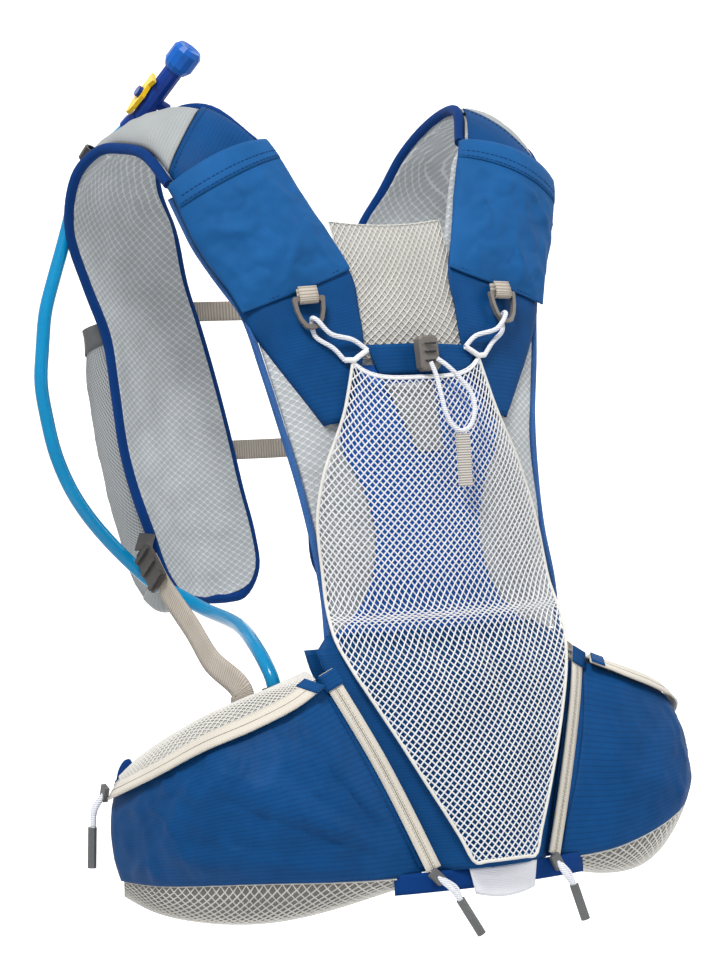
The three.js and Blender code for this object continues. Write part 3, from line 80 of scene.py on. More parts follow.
STRAP_ROWS = table("neckX neckY neckDrop armX armY armDrop", [
    (0.335, None, 0.665, 0.40, None, 0.668),
    (0.225, None, 0.545, 0.56, None, 0.548),
    (0.212, None, 0.452, 0.647, None, 0.474),
    (0.22, None, 0.377, 0.693, None, 0.413),
    (0.333, -0.6, 0.248, 0.793, -0.55, 0.31),
    (0.44, -0.44, 0.126, 0.86, -0.43, 0.21),
    (0.533, -0.2, 0.058, 0.873, -0.23, 0.148),
    (0.587, 0.04, 0.04, 0.893, 0.0, 0.124),
    (0.593, 0.3, 0.06, 0.933, 0.2, 0.116),
    (0.573, 0.56, 0.098, 0.98, 0.4, 0.138),
    (0.527, 0.72, 0.158, 1.0, 0.54, 0.184),
    (0.44, 0.82, 0.229, 0.987, 0.64, 0.239),
    (0.387, 0.88, 0.332, 0.9, 0.73, 0.342),
    (0.32, 0.91, 0.432, 0.813, 0.78, 0.439),
    (0.26, 0.92, 0.542, 0.78, 0.8, 0.555),
    (0.213, 0.92, 0.645, 0.76, 0.8, 0.665),
    (0.173, 0.91, 0.755, 0.727, 0.78, 0.755),
    (0.133, 0.89, 0.855, 0.673, 0.76, 0.845),
    (0.127, 0.86, 0.929, 0.627, 0.75, 0.923),
    (0.18, 0.85, 0.977, 0.56, 0.76, 0.974),
    (0.267, 0.84, 1.0, 0.453, 0.79, 1.0),
])

BACK_ROWS = table("drop depth", [
    (0.19, 0.52),
    (0.29, 0.67),
    (0.387, 0.79),
    (0.484, 0.87),
    (0.58, 0.91),
    (0.68, 0.94),
    (0.84, 0.95),
    (1.08, 0.96),
    (1.29, 1.02),
    (1.52, 1.09),
])

BACK_EDGE_ROWS = table("drop half", [
    (0.38, 0.693),
    (0.433, 0.66),
    (0.522, 0.62),
    (0.64, 0.567),
    (0.72, 0.527),
    (0.79, 0.5),
    (0.88, 0.467),
    (1.0, 0.46),
])

CENTRE_ROWS = table("drop half", [
    (0.515, 0.29),
    (0.6, 0.34),
    (0.663, 0.34),
    (0.73, 0.27),
    (0.806, 0.233),
    (0.88, 0.253),
    (0.94, 0.32),
    (0.99, 0.44),
])

NET_ROWS = table("drop half edge middle", [
    (0.503, 0.283, 0.992, 1.024),
    (0.6, 0.347, 1.01, 1.1),
    (0.693, 0.44, 0.99, 1.125),
    (0.806, 0.52, 0.965, 1.15),
    (0.913, 0.547, 1.0, 1.18),
    (0.99, 0.533, 1.17, 1.27),
    (1.06, 0.467, 1.335, 1.4),
    (1.15, 0.373, 1.47, 1.54),
    (1.233, 0.287, 1.56, 1.62),
    (1.307, 0.207, 1.63, 1.67),
    (1.376, 0.133, 1.68, 1.695),
])

PACK_ROWS = table("drop half edge middle body", [
    (0.006, 0.475, 0.68, 0.735, 0.595),
    (0.1, 0.462, 0.71, 0.78, 0.61),
    (0.3, 0.405, 0.775, 0.86, 0.63),
    (0.54, 0.335, 0.835, 0.92, 0.645),
    (0.77, 0.272, 0.875, 0.96, 0.66),
    (0.98, 0.215, 0.905, 0.985, 0.675),
])

WING_RIBS = table("topX topY topDrop midX midY hemX hemY bodyX bodyY bodyDrop bodyHemX bodyHemY", [
    (0.493, -0.72, 0.13, 0.38, -0.86, 0.24, -0.9, 0.478, -0.615, 0.1, 0.44, -0.66),
    (0.61, -0.76, 0.21, 0.57, -0.905, 0.51, -0.905, 0.575, -0.55, 0.16, 0.56, -0.6),
    (0.744, -0.74, 0.29, 0.767, -0.85, 0.722, -0.837, 0.656, -0.45, 0.215, 0.66, -0.51),
    (0.865, -0.645, 0.37, 0.9, -0.71, 0.86, -0.68, 0.767, -0.29, 0.315, 0.78, -0.35),
    (0.94, -0.43, 0.492, 0.975, -0.45, 0.95, -0.424, 0.878, -0.133, 0.446, 0.89, -0.18),
    (0.972, -0.085, 0.623, 0.989, -0.08, 0.972, -0.1, 0.94, -0.012, 0.577, 0.94, -0.03),
])

SIDE_STRAP_ROUTE = table("x y drop", [
    (0.732, 0.547, 0.903),
    (0.727, 0.52, 0.916),
    (0.71, 0.42, 0.964),
    (0.704, 0.1, 1.04),
    (0.735, -0.24, 1.1),
])

TUBE_ROUTE = [
    (-0.0976, -0.0815, -0.362), (-0.0986, -0.08, -0.352), (-0.0985, -0.071, -0.342),
    (-0.096, -0.055, -0.333), (-0.09, -0.028, -0.324), (-0.085, 0, -0.319),
    (-0.084, 0.04, -0.312), (-0.091, 0.06, -0.303), (-0.104, 0.069, -0.294),
    (-0.119, 0.072, -0.279), (-0.132, 0.072, -0.265), (-0.145, 0.071, -0.249),
    (-0.155, 0.071, -0.232), (-0.163, 0.071, -0.211), (-0.167, 0.072, -0.189),
    (-0.169, 0.073, -0.167), (-0.166, 0.075, -0.146), (-0.162, 0.076, -0.123),
    (-0.155, 0.077, -0.103), (-0.148, 0.078, -0.085), (-0.142, 0.079, -0.069),
    (-0.137, 0.079, -0.054), (-0.132, 0.077, -0.04), (-0.127, 0.071, -0.031),
    (-0.121, 0.061, -0.0225), (-0.115, 0.05, -0.0155), (-0.111, 0.041, -0.009),
]

LOOP_ROUTE = [
    (0.002, -0.113, -0.172), (0.004, -0.115, -0.18), (0.005, -0.117, -0.19),
    (0.007, -0.119, -0.203), (0.011, -0.12, -0.211), (0.016, -0.1205, -0.2135),
    (0.022, -0.12, -0.211), (0.026, -0.1195, -0.203), (0.026, -0.118, -0.193),
    (0.021, -0.116, -0.184), (0.013, -0.114, -0.175), (0.007, -0.112, -0.17),
]


def along_rows(rows, key, column, value):
    """A smooth value of one column between the rows, by the key column."""
    i = 0
    while i < len(rows) - 2 and value > rows[i + 1][key]:
        i += 1
    a, b = rows[i], rows[i + 1]
    before, after = rows[max(i - 1, 0)], rows[min(i + 2, len(rows) - 1)]
    span = b[key] - a[key]
    t = min(max((value - a[key]) / span, -1), 2)
    m0 = (b[column] - before[column]) / (b[key] - before[key]) * span
    m1 = (after[column] - a[column]) / (after[key] - a[key]) * span
    return ((2 * t**3 - 3 * t**2 + 1) * a[column] + (t**3 - 2 * t**2 + t) * m0
            + (3 * t**2 - 2 * t**3) * b[column] + (t**3 - t**2) * m1)


def spline(points, t, centripetal=False):
    """A point at share t of a smooth line through the points."""
    last = len(points) - 1
    place = min(max(t, 0), 1) * last
    i = min(int(place), last - 1)
    w = place - i
    p1, p2 = Vector(points[i]), Vector(points[i + 1])
    p0 = Vector(points[i - 1]) if i else 2 * p1 - p2
    p3 = Vector(points[i + 2]) if i + 2 <= last else 2 * p2 - p1
    if centripetal:
        d0, d1, d2 = (max((b - a).length, 1e-6) ** 0.5 for a, b in ((p0, p1), (p1, p2), (p2, p3)))
        m0 = ((p1 - p0) / d0 - (p2 - p0) / (d0 + d1) + (p2 - p1) / d1) * d1
        m1 = ((p2 - p1) / d1 - (p3 - p1) / (d1 + d2) + (p3 - p2) / d2) * d1
    else:
        m0, m1 = (p2 - p0) / 2, (p3 - p1) / 2
    return p1 + w * m0 + w**2 * (3 * (p2 - p1) - 2 * m0 - m1) + w**3 * (2 * (p1 - p2) + m0 + m1)


def smooth(x, low, high):
    """0 below low, 1 above high, and an even rise between them."""
    t = min(max((x - low) / (high - low), 0), 1)
    return t * t * (3 - 2 * t)


def mix(a, b, t):
    """The value at share t on the way from a to b."""
    return a + (b - a) * t


def back_surface(x, z):
    """The body side of the back, where x runs across and z up."""
    depth = along_rows(BACK_ROWS, "drop", "depth", -z / FRONT_DROP) * BODY_DEPTH
    share = min(abs(x) / SHOULDER_HALF, 0.98)
    return Vector((x, -depth * (1 - share**2.4) ** (1 / 2.4), z))


def back(x, z, off):
    """A point that stands off the body side of the back."""
    dx = back_surface(x + 1, z) - back_surface(x - 1, z)
    dz = back_surface(x, z + 1) - back_surface(x, z - 1)
    return back_surface(x, z) + dx.cross(dz).normalized() * off


# a spot inside the wearer's chest, which every strap looks away from
HEART = Vector((0, 0, -0.5 * FRONT_DROP))
LAST = len(STRAP_ROWS) - 1
EDGES = {}
for edge in ("neck", "arm"):
    EDGES[edge] = []
    for row in STRAP_ROWS:
        ex, ez = row[edge + "X"] * SHOULDER_HALF, -row[edge + "Drop"] * FRONT_DROP
        ey = row[edge + "Y"]
        EDGES[edge].append(back_surface(ex, ez) if ey is None else Vector((ex, ey * BODY_DEPTH, ez)))


def strap_surface(across, row):
    """The body side of the right strap, from neck edge 0 to arm edge 1, at a row of the table."""
    v = min(max(row / LAST, 0), 1)
    neck, arm = spline(EDGES["neck"], v), spline(EDGES["arm"], v)
    line = (spline(EDGES["neck"], v + 0.002) - spline(EDGES["neck"], v - 0.002)
            + spline(EDGES["arm"], v + 0.002) - spline(EDGES["arm"], v - 0.002))
    out = line.cross(arm - neck).normalized()
    if out.dot(neck - HEART) < 0:
        out.negate()
    share = min(max(across, 0), 1)
    rise = smooth(row, 3, 5)
    straight = neck.lerp(arm, share)
    hollow = straight.y - back_surface(straight.x, straight.z).y
    return neck.lerp(arm, across) + out * (7 * rise * math.sin(math.pi * share) + hollow * (1 - rise))


def strap_point(across, row, off, side):
    """A point that stands off the body side of a strap."""
    du = strap_surface(across + 0.05, row) - strap_surface(across - 0.05, row)
    dv = strap_surface(across, row + 0.05) - strap_surface(across, row - 0.05)
    normal = du.cross(dv).normalized()
    centre = strap_surface(across, row)
    if normal.dot(centre - HEART) < 0:
        normal.negate()
    point = centre + normal * off
    return Vector((point.x * side, point.y, point.z))


def strap_width(row):
    """The strap's width at a row of the table."""
    return (strap_surface(0, row) - strap_surface(1, row)).length


def net_point(u, v, off=0.0):
    """A point of the coarse net, which is gathered at the waist and drawn in at the left."""
    w = 2 * u - 1
    away = (v - 0.5) / 0.04
    v -= 0.6 * (v - 0.5) * math.exp(-away * away)
    pull = 1 - (0.14 * math.exp(-((v - 0.43) / 0.14) ** 2) * w * w if w < 0 else 0)
    off += 2.6 * math.exp(-((v - 0.5 - 0.014 * math.sin(5 * w)) / 0.02) ** 2) * (1 - w * w)
    off += 2.2 * abs(math.sin(7 * w + 2 * math.sin(4 * v))) * math.exp(-((v - 0.6) / 0.1) ** 2) * (1 - w * w)
    first = NET_ROWS[0]["drop"] * WAIST_DROP + 11
    z = -(first + v * (NET_ROWS[-1]["drop"] * WAIST_DROP - first)) + 11 * abs(w) ** 4 * (1 - v) ** 3
    column = {c: along_rows(NET_ROWS, "drop", c, -z / WAIST_DROP) for c in ("half", "edge", "middle")}
    y = -mix(column["middle"], column["edge"], w * w) * BODY_DEPTH - off
    return Vector((w * pull * column["half"] * SHOULDER_HALF, y, z))


def net_lattice(u, v):
    """The same surface by even steps across, so that the cells keep their size where the net narrows."""
    first = NET_ROWS[0]["drop"] * WAIST_DROP + 11
    drop = (first + v * (NET_ROWS[-1]["drop"] * WAIST_DROP - first)) / WAIST_DROP
    half = along_rows(NET_ROWS, "drop", "half", drop)
    widest = max(row["half"] for row in NET_ROWS)
    w = min(max((2 * u - 1) * widest / half, -1), 1)
    return net_point(0.5 + w / 2, v)


def rib_curve(x, y, drop):
    """The line through one pair of columns of the wing's ribs."""
    return [Vector((rib[x] * HIP_HALF, rib[y] * PACK_DEPTH, -WAIST_DROP - drop(rib) * HIP_RISE))
            for rib in WING_RIBS]


WING_TOP = rib_curve("topX", "topY", lambda r: r["topDrop"])
WING_MIDDLE = rib_curve("midX", "midY", lambda r: (r["topDrop"] + 1) / 2)
WING_HEM = rib_curve("hemX", "hemY", lambda r: 1)
BODY_TOP = rib_curve("bodyX", "bodyY", lambda r: r["bodyDrop"])
BODY_HEM = rib_curve("bodyHemX", "bodyHemY", lambda r: 1.03)


def wing_face(u, v):
    """The right wing's outer face, from the pack to its tip and from its top to its hem."""
    top, middle, hem = spline(WING_TOP, u), spline(WING_MIDDLE, u), spline(WING_HEM, u)
    control = middle * 2 - top * 0.5 - hem * 0.5
    return top * (1 - v) ** 2 + control * 2 * v * (1 - v) + hem * v * v


def mirrored(p, side):
    """The point on the right, or its mirror image on the left."""
    return Vector((p.x * side, p.y, p.z))


# Materials. Most patterns follow a piece's own UV, which is in metres of cloth.

def linear(code):
    """An sRGB hex code turned linear. A colour from the settings is linear already."""
    if not isinstance(code, str):
        return [*code[:3], 1]
    parts = [int(code[i:i + 2], 16) / 255 for i in (0, 2, 4)]
    return [c / 12.92 if c < 0.04045 else ((c + 0.055) / 1.055) ** 2.4 for c in parts] + [1]


def add(tree, kind, *inputs, **settings):
    """Adds a node with its settings and its links or values."""
    node = tree.nodes.new(kind)
    for key, value in settings.items():
        setattr(node, key, value)
    for n, value in enumerate(inputs):
        if isinstance(value, bpy.types.NodeSocket):
            tree.links.new(value, node.inputs[n])
        elif value is not None:
            node.inputs[n].default_value = value
    return node.outputs[0]


def maths(tree, operation, a, b=None):
    """Adds one step of arithmetic."""
    return add(tree, "ShaderNodeMath", a, b, operation=operation)


def pattern(tree, kind, pitch, stretch, place):
    """A mask from 0, thread, to 1, gap or groove."""
    if kind == "cells":
        split = add(tree, "ShaderNodeSeparateXYZ", place).node
        lean = maths(tree, "MULTIPLY", split.outputs[1], 0.45)
        along = maths(tree, "ADD", split.outputs[0], lean)
        across = maths(tree, "ADD", split.outputs[2], lean)
    else:
        uv = tree.nodes.new("ShaderNodeUVMap")
        split = add(tree, "ShaderNodeSeparateXYZ", uv.outputs[0]).node
        along, across = split.outputs[0], split.outputs[1]
    u = maths(tree, "MULTIPLY", along, math.pi / pitch)
    v = maths(tree, "MULTIPLY", across, math.pi / (pitch * stretch))
    if kind == "ribs":
        return maths(tree, "POWER", maths(tree, "ABSOLUTE", maths(tree, "COSINE", v)), 6.0)
    if kind == "ripstop":
        lines = maths(tree, "POWER", maths(tree, "ABSOLUTE", maths(tree, "COSINE", v)), 14.0)
        cross = maths(tree, "POWER", maths(tree, "ABSOLUTE", maths(tree, "COSINE", u)), 60.0)
        return maths(tree, "MAXIMUM", lines, maths(tree, "MULTIPLY", cross, 0.5))
    plus = maths(tree, "ABSOLUTE", maths(tree, "SINE", maths(tree, "ADD", u, v)))
    minus = maths(tree, "ABSOLUTE", maths(tree, "SINE", maths(tree, "SUBTRACT", u, v)))
    hole = maths(tree, "MULTIPLY", plus, minus)
    low, high = (0.08, 0.34) if kind == "cells" else (0.3, 0.62)
    return add(tree, "ShaderNodeMapRange", hole, low, high, 0.0, 1.0, interpolation_type="SMOOTHSTEP")


def material(name, colour, second, rough, kind=None, pitch=0.002, stretch=1.0, bump=0.4, sheen=0.0,
             wear=0.12, depth=0.0004, coat=0.0, shine=0.2):
    """Makes a material. pitch is the pattern's step in metres, and wear is how far its tone wanders."""
    mat = bpy.data.materials.new(name)
    mat.use_nodes = True
    tree = mat.node_tree
    shader = tree.nodes["Principled BSDF"]
    shader.inputs["Roughness"].default_value = rough
    shader.inputs["Sheen Weight"].default_value = sheen
    shader.inputs["Coat Weight"].default_value = coat
    shader.inputs["Specular IOR Level"].default_value = shine
    place = tree.nodes.new("ShaderNodeTexCoord").outputs["Object"]
    cloud = add(tree, "ShaderNodeTexNoise", place, None, 38.0, 4.0, 0.6)
    tone = add(tree, "ShaderNodeMapRange", cloud, 0.3, 0.7, 1.0 - wear, 1.0 + wear)
    base = add(tree, "ShaderNodeMix", None, None, None, None, None, None, linear(colour), linear(second),
               data_type="RGBA")
    mixer = base.node
    if kind:
        if kind == "turns":
            split = add(tree, "ShaderNodeSeparateXYZ", place).node
            wave = maths(tree, "COSINE", maths(tree, "MULTIPLY", split.outputs[2], math.pi / pitch))
            mask = maths(tree, "POWER", maths(tree, "ABSOLUTE", wave), 3.0)
        else:
            mask = pattern(tree, kind, pitch, stretch, place)
        tree.links.new(mask, mixer.inputs[0])
        fine = add(tree, "ShaderNodeTexNoise", place, None, 1600.0, 2.0, 0.5)
        height = maths(tree, "SUBTRACT", maths(tree, "MULTIPLY", fine, 0.25), mask)
    else:
        mixer.inputs[0].default_value = 0
        height = add(tree, "ShaderNodeTexNoise", place, None, 420.0, 3.0, 0.6)
        tree.links.new(maths(tree, "MULTIPLY", height, 0.5), mixer.inputs[0])
    result = tree.nodes.new("ShaderNodeVectorMath")
    result.operation = "SCALE"
    tree.links.new(mixer.outputs[2], result.inputs[0])
    tree.links.new(tone, result.inputs["Scale"])
    tree.links.new(result.outputs[0], shader.inputs["Base Color"])
    relief = tree.nodes.new("ShaderNodeBump")
    relief.inputs["Strength"].default_value = bump
    relief.inputs["Distance"].default_value = depth
    tree.links.new(height, relief.inputs["Height"])
    tree.links.new(relief.outputs[0], shader.inputs["Normal"])
    return mat


MAT = {}


def finishes(wish):
    """Makes every material. The first colour is the thread or body, the second the gap, groove or mottle."""
    MAT.update({
        # polyester spacer mesh, knitted: matt, with large hexagonal cells
        "air": material("spacer_mesh", "CCCFD1", "A8ADB0", 0.9, "cells", 0.0054, 0.8, 0.7, 0.05, 0.1),
        # polyester mesh edge, knitted: matt blue with paler holes
        "air_blue": material("blue_mesh_edge", "1553A0", "5E8FCB", 0.9, "net", 0.0016, 0.8, 0.7, 0.05),
        # ripstop nylon, woven: a soft sheen with fine raised lines, drawn every 2.4 mm
        "blue": material("ripstop_nylon", wish.cloth, "083B6C", 0.6, "ripstop", 0.0024, 1.0, 0.14, 0.0, 0.14,
                         shine=0.1),
        # the same blue nylon as the ripstop, with fainter lines, painted lighter: painted light that stands
        # for the light from above on the pouches' upward faces
        "pouch": material("lit_pouch_nylon", "17568F", "124C84", 0.7, "ripstop", 0.0012, 1.0, 0.1, 0.02, 0.1,
                          shine=0.12),
        # plain nylon, woven, under the net
        "centre": material("plain_blue_nylon", "2367C0", "1A57AC", 0.7, "ripstop", 0.0012, 1.0, 0.2, 0.0,
                           0.1),
        # polyester edge tape, knitted: matt and dense
        "binding": material("edge_tape", wish.tape, "03306A", 0.75, "net", 0.0011, 0.8, 0.5, 0.02, 0.08,
                            shine=0.1),
        # polyester net thread, warp-knitted: matt and nearly white
        "net": material("net_thread", "ECEDEF", "D6D5D6", 0.8, None, bump=0.3, wear=0.04),
        # finer polyester net thread, undyed
        "beige": material("fine_net_thread", "DEDCD6", "C8C5BF", 0.85, None, bump=0.3, wear=0.05),
        # thin polyester cloth behind the neck and top nets, pale; the dark one is painted shade, a dark
        # sheet behind the bottle nets that stands for the shaded inside of their pockets
        "lining": material("pale_lining", "BDBCB8", "9A9996", 0.9, "net", 0.0013, 1.0, 0.3, wear=0.06),
        "shade": material("painted_pocket_shade", "7E7C79", "5F5E5C", 0.9, "net", 0.0013, 1.0, 0.3, wear=0.08),
        # polyester sleeve, knitted: matt with tiny oblong holes
        "knit": material("sleeve_knit", "ABAEAF", "6E7274", 0.85, "net", 0.0017, 1.6, 0.5, 0.05, 0.05),
        # coated polyester, woven: grey-white and smooth
        "cap": material("shoulder_cloth", "9FA3A4", "909495", 0.85, "ripstop", 0.0022, 1.0, 0.3, 0.05, 0.05),
        # polypropylene webbing, woven: cross ribs every 1.4 mm
        "webbing": material("woven_webbing", "B9B0A4", "958C81", 0.8, "ribs", 0.0014, 1.0, 0.7, 0.05, 0.08),
        # polyurethane-coated zip tape: smooth cream with faint ribs
        "zip": material("zip_tape", "D6D0C4", "C6BFB2", 0.6, "ribs", 0.0011, 1.0, 0.2, 0.03, 0.04),
        # elastic cord, braided: white with slanting turns
        "cord": material("braided_cord", "EEEFF3", "C9CCD6", 0.6, "turns", 0.0011, 1.0, 0.6, 0.05, 0.03),
        # polyester tab, woven: ribs across
        "tab": material("ribbed_tab", "D2CEC8", "968F87", 0.8, "turns", 0.0015, 1.0, 0.8, 0.05, 0.04),
        # acetal, moulded: satin grey
        "plastic": material("grey_acetal", "706A64", "5D5853", 0.42, bump=0.08, shine=0.5),
        # acetal, moulded: near black, a little glossy
        "dark": material("dark_acetal", "2B2B2E", "202022", 0.45, bump=0.08, shine=0.4),
        # acetal, moulded: the buckles' dark grey
        "lock": material("buckle_acetal", "4B4845", "3C3A38", 0.45, bump=0.08, shine=0.4),
        # soft rubber tube, extruded: dull grey
        "pull": material("rubber_tube", "646566", "515253", 0.5, bump=0.06, shine=0.35),
        # reflective film pressed on cloth: pale and slightly glossy
        "reflective": material("reflective_film", "E6E6EC", "D5D6E0", 0.3, "ribs", 0.0009, 1.0, 0.2,
                               wear=0.03),
        # polyurethane hose, extruded and tinted: a narrow bright gloss
        "tube": material("tinted_hose", wish.hose, "04659A", 0.2, bump=0.02, coat=0.2, wear=0.05, shine=0.2),
        # polypropylene valve body, moulded: smooth and dark
        "valve": material("valve_polypropylene", "06358A", "052B74", 0.3, bump=0.04, shine=0.3),
        # silicone mouthpiece, moulded: soft gloss
        "mouth": material("bite_silicone", "085CB4", "064CA0", 0.38, bump=0.05, shine=0.3),
        # acetal lever, moulded: bright, smooth yellow
        "lever": material("yellow_acetal", wish.lever, "E8B90A", 0.33, bump=0.04, shine=0.4),
        # polyester sewing thread, twisted: blue on blue cloth, sand on the zip tape
        "thread": material("blue_thread", "0B3A72", "082C58", 0.8, bump=0.3),
        "pale_thread": material("sand_thread", "8A8378", "6F695F", 0.8, bump=0.3),
    })


def settle(obj, mat, nodes=()):
    """Gives a new piece its material and its body."""
    if not obj.users_collection:
        bpy.context.scene.collection.objects.link(obj)
    obj.data.materials.append(MAT[mat])
    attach(obj, "vest")
    if nodes:
        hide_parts(*nodes)
    return obj


def from_bmesh(name, bm):
    """Turns a finished bmesh into an object with smooth shading."""
    mesh = bpy.data.meshes.new(name)
    bm.to_mesh(mesh)
    bm.free()
    for face in mesh.polygons:
        face.use_smooth = True
    return bpy.data.objects.new(name, mesh)


def ruffle(p, amount, size=26.0):
    """Soft swells and sharper creases of slack cloth, in millimetres."""
    soft = abs(noise.fractal(p / size, 0.7, 2.0, 3))
    tilted = Vector((p.x + 0.5 * p.z, p.y, 0.35 * p.z - 0.3 * p.x)) / (1.5 * size)
    ridge = max(0, 1 - 3.2 * abs(noise.noise(tilted * 2.1))) ** 2
    return amount * (0.75 * soft + 0.5 * ridge)


def grid(nu, nv):
    """A flat grid of nu by nv faces, its UV layer, and where each corner lies in it."""
    bm = bmesh.new()
    uv = bm.loops.layers.uv.new("UVMap")
    bmesh.ops.create_grid(bm, x_segments=nu, y_segments=nv, size=0.5)
    return bm, uv, {v: (round((v.co.x + 0.5) * nu), round((v.co.y + 0.5) * nv)) for v in bm.verts}


def cloth(name, fn, nu, nv, mat, thick, nodes=(), held="hung", inside=HEART, slack=0.0, pad=False, calm=2.0):
    """A cloth wall over fn(u, v), which is its body side in millimetres. It grows away from inside."""
    bm, uv, places = grid(nu, nv)
    spots = [[fn(i / nu, j / nv) for j in range(nv + 1)] for i in range(nu + 1)]
    mu, mv = nu // 2, nv // 2
    widths = [sum((spots[i + 1][j] - spots[i][j]).length for i in range(nu)) for j in range(nv + 1)]
    length = sum(sum((spots[i][j + 1] - spots[i][j]).length for j in range(nv)) for i in (0, mu, nu)) / 3
    normal = (spots[mu + 1][mv] - spots[mu][mv]).cross(spots[mu][mv + 1] - spots[mu][mv])
    outward = normal.dot(spots[mu][mv] - inside) > 0
    for vert, (i, j) in places.items():
        p = spots[i][j]
        if slack:
            du = spots[min(i + 1, nu)][j] - spots[max(i - 1, 0)][j]
            dv = spots[i][min(j + 1, nv)] - spots[i][max(j - 1, 0)]
            n = du.cross(dv).normalized() * (1 if outward else -1)
            hem = min(1, 4 * min(i / nu, 1 - i / nu, j / nv, 1 - j / nv) + 0.15)
            p = p + n * ruffle(p, slack) * hem * smooth(calm - j / nv, 0, 0.1)
        vert.co = p / 1000
        for loop in vert.link_loops:
            loop[uv].uv = (i / nu - 0.5) * widths[j] / 1000, j / nv * length / 1000
    if not outward:
        bmesh.ops.reverse_faces(bm, faces=bm.faces)
    area = sum(f.calc_area() for f in bm.faces)
    obj = settle(from_bmesh(name, bm), mat, nodes)
    wall = obj.modifiers.new("wall", "SOLIDIFY")
    wall.thickness, wall.offset = thick / 1000, 1.0
    wall.use_even_offset = True
    if pad:
        soft = obj.modifiers.new("rounded", "BEVEL")
        soft.width, soft.segments, soft.limit_method, soft.angle_limit = thick / 3000, 2, "ANGLE", 0.9
    return obj


def strand_net(name, fn, nu, nv, thick, nodes=(), mat="net"):
    """An open net: diamonds over fn(u, v), turned into threads of the given thickness."""
    bm, _, places = grid(nu // 2, nv // 2)
    for vert, (i, j) in places.items():
        vert.co = (2 * i / nu, 2 * j / nv, 0)
    sides = [edge for edge in bm.edges if len(edge.link_faces) == 2]
    bmesh.ops.poke(bm, faces=bm.faces)
    bmesh.ops.dissolve_edges(bm, edges=sides, use_verts=False)
    for vert in bm.verts:
        vert.co = fn(vert.co.x, vert.co.y) / 1000
    crushed = [f for f in bm.faces if min(edge.calc_length() for edge in f.edges) < 0.0006]
    bmesh.ops.delete(bm, geom=crushed, context="FACES")
    spots = [[fn(i / 8, j / 8) for j in range(9)] for i in range(9)]
    area = sum(f.calc_area() for f in bm.faces)
    obj = settle(from_bmesh(name, bm), mat, nodes)
    wire = obj.modifiers.new("threads", "WIREFRAME")
    wire.thickness, wire.use_even_offset, wire.use_boundary = thick / 1000, False, True
    return obj


def tube(name, points, radius, mat, nodes=(), count=60):
    """A round cord or tape edge on a smooth line through the points, in millimetres."""
    curve = bpy.data.curves.new(name, "CURVE")
    curve.dimensions, curve.bevel_depth, curve.bevel_resolution = "3D", radius / 1000, 4
    curve.use_fill_caps = True
    line = curve.splines.new("POLY")
    line.points.add(count)
    for i, point in enumerate(line.points):
        point.co = (*(spline(points, i / count, True) / 1000), 1)
    line.use_smooth = True
    return settle(bpy.data.objects.new(name, curve), mat, nodes)


def line_length(points, count=60):
    """The length of the smooth line through the points, in metres."""
    spots = [spline(points, i / count, True) for i in range(count + 1)]
    return sum((b - a).length for a, b in zip(spots, spots[1:])) / 1000


def band(name, points, width, thick, face, mat, nodes=(), count=40):
    """Flat webbing or tape along the points. face(v) is the way its outer side looks."""
    def fn(u, v):
        line = spline(points, min(v + 0.004, 1), True) - spline(points, max(v - 0.004, 0), True)
        across = line.cross(face(v)).normalized()
        return spline(points, v, True) + across * (u - 0.5) * width
    bm, uv, places = grid(4, count)
    length = line_length(points) * 1000
    for vert, (i, j) in places.items():
        vert.co = fn(i / 4, j / count) / 1000
        for loop in vert.link_loops:
            loop[uv].uv = (i / 4 - 0.5) * width / 1000, j / count * length / 1000
    bm.normal_update()
    wrong = [f for f in bm.faces if f.normal.dot(face(min(places[v][1] for v in f.verts) / count)) < 0]
    bmesh.ops.reverse_faces(bm, faces=wrong)
    obj = settle(from_bmesh(name, bm), mat, nodes)
    wall = obj.modifiers.new("wall", "SOLIDIFY")
    wall.thickness, wall.offset = thick / 1000, 1.0
    return obj


def stitches(name, fn, pitch=3.0, radius=0.28, mat="thread"):
    """A row of thread stitches along fn(t), in millimetres."""
    spots = [fn(i / 200) for i in range(201)]
    total = [0.0]
    for a, b in zip(spots, spots[1:]):
        total.append(total[-1] + (b - a).length)
    bm = bmesh.new()
    count = int(total[-1] / pitch)
    for n in range(count):
        ends = []
        for place in (n + 0.15, n + 0.8):
            i = max(k for k, d in enumerate(total) if d <= place * pitch)
            ends.append(spots[min(i, 200)])
        line = ends[1] - ends[0]
        if line.length < 0.3:
            continue
        turn = line.to_track_quat("Z", "Y").to_matrix().to_4x4()
        spot = Matrix.Translation((ends[0] + ends[1]) / 2000) @ turn
        bmesh.ops.create_cone(bm, cap_ends=True, segments=6, radius1=radius / 1000, radius2=radius / 1400,
                              depth=line.length / 1000, matrix=spot)
    return settle(from_bmesh(name, bm), mat)


SIDES = (("left", -1), ("right", 1))


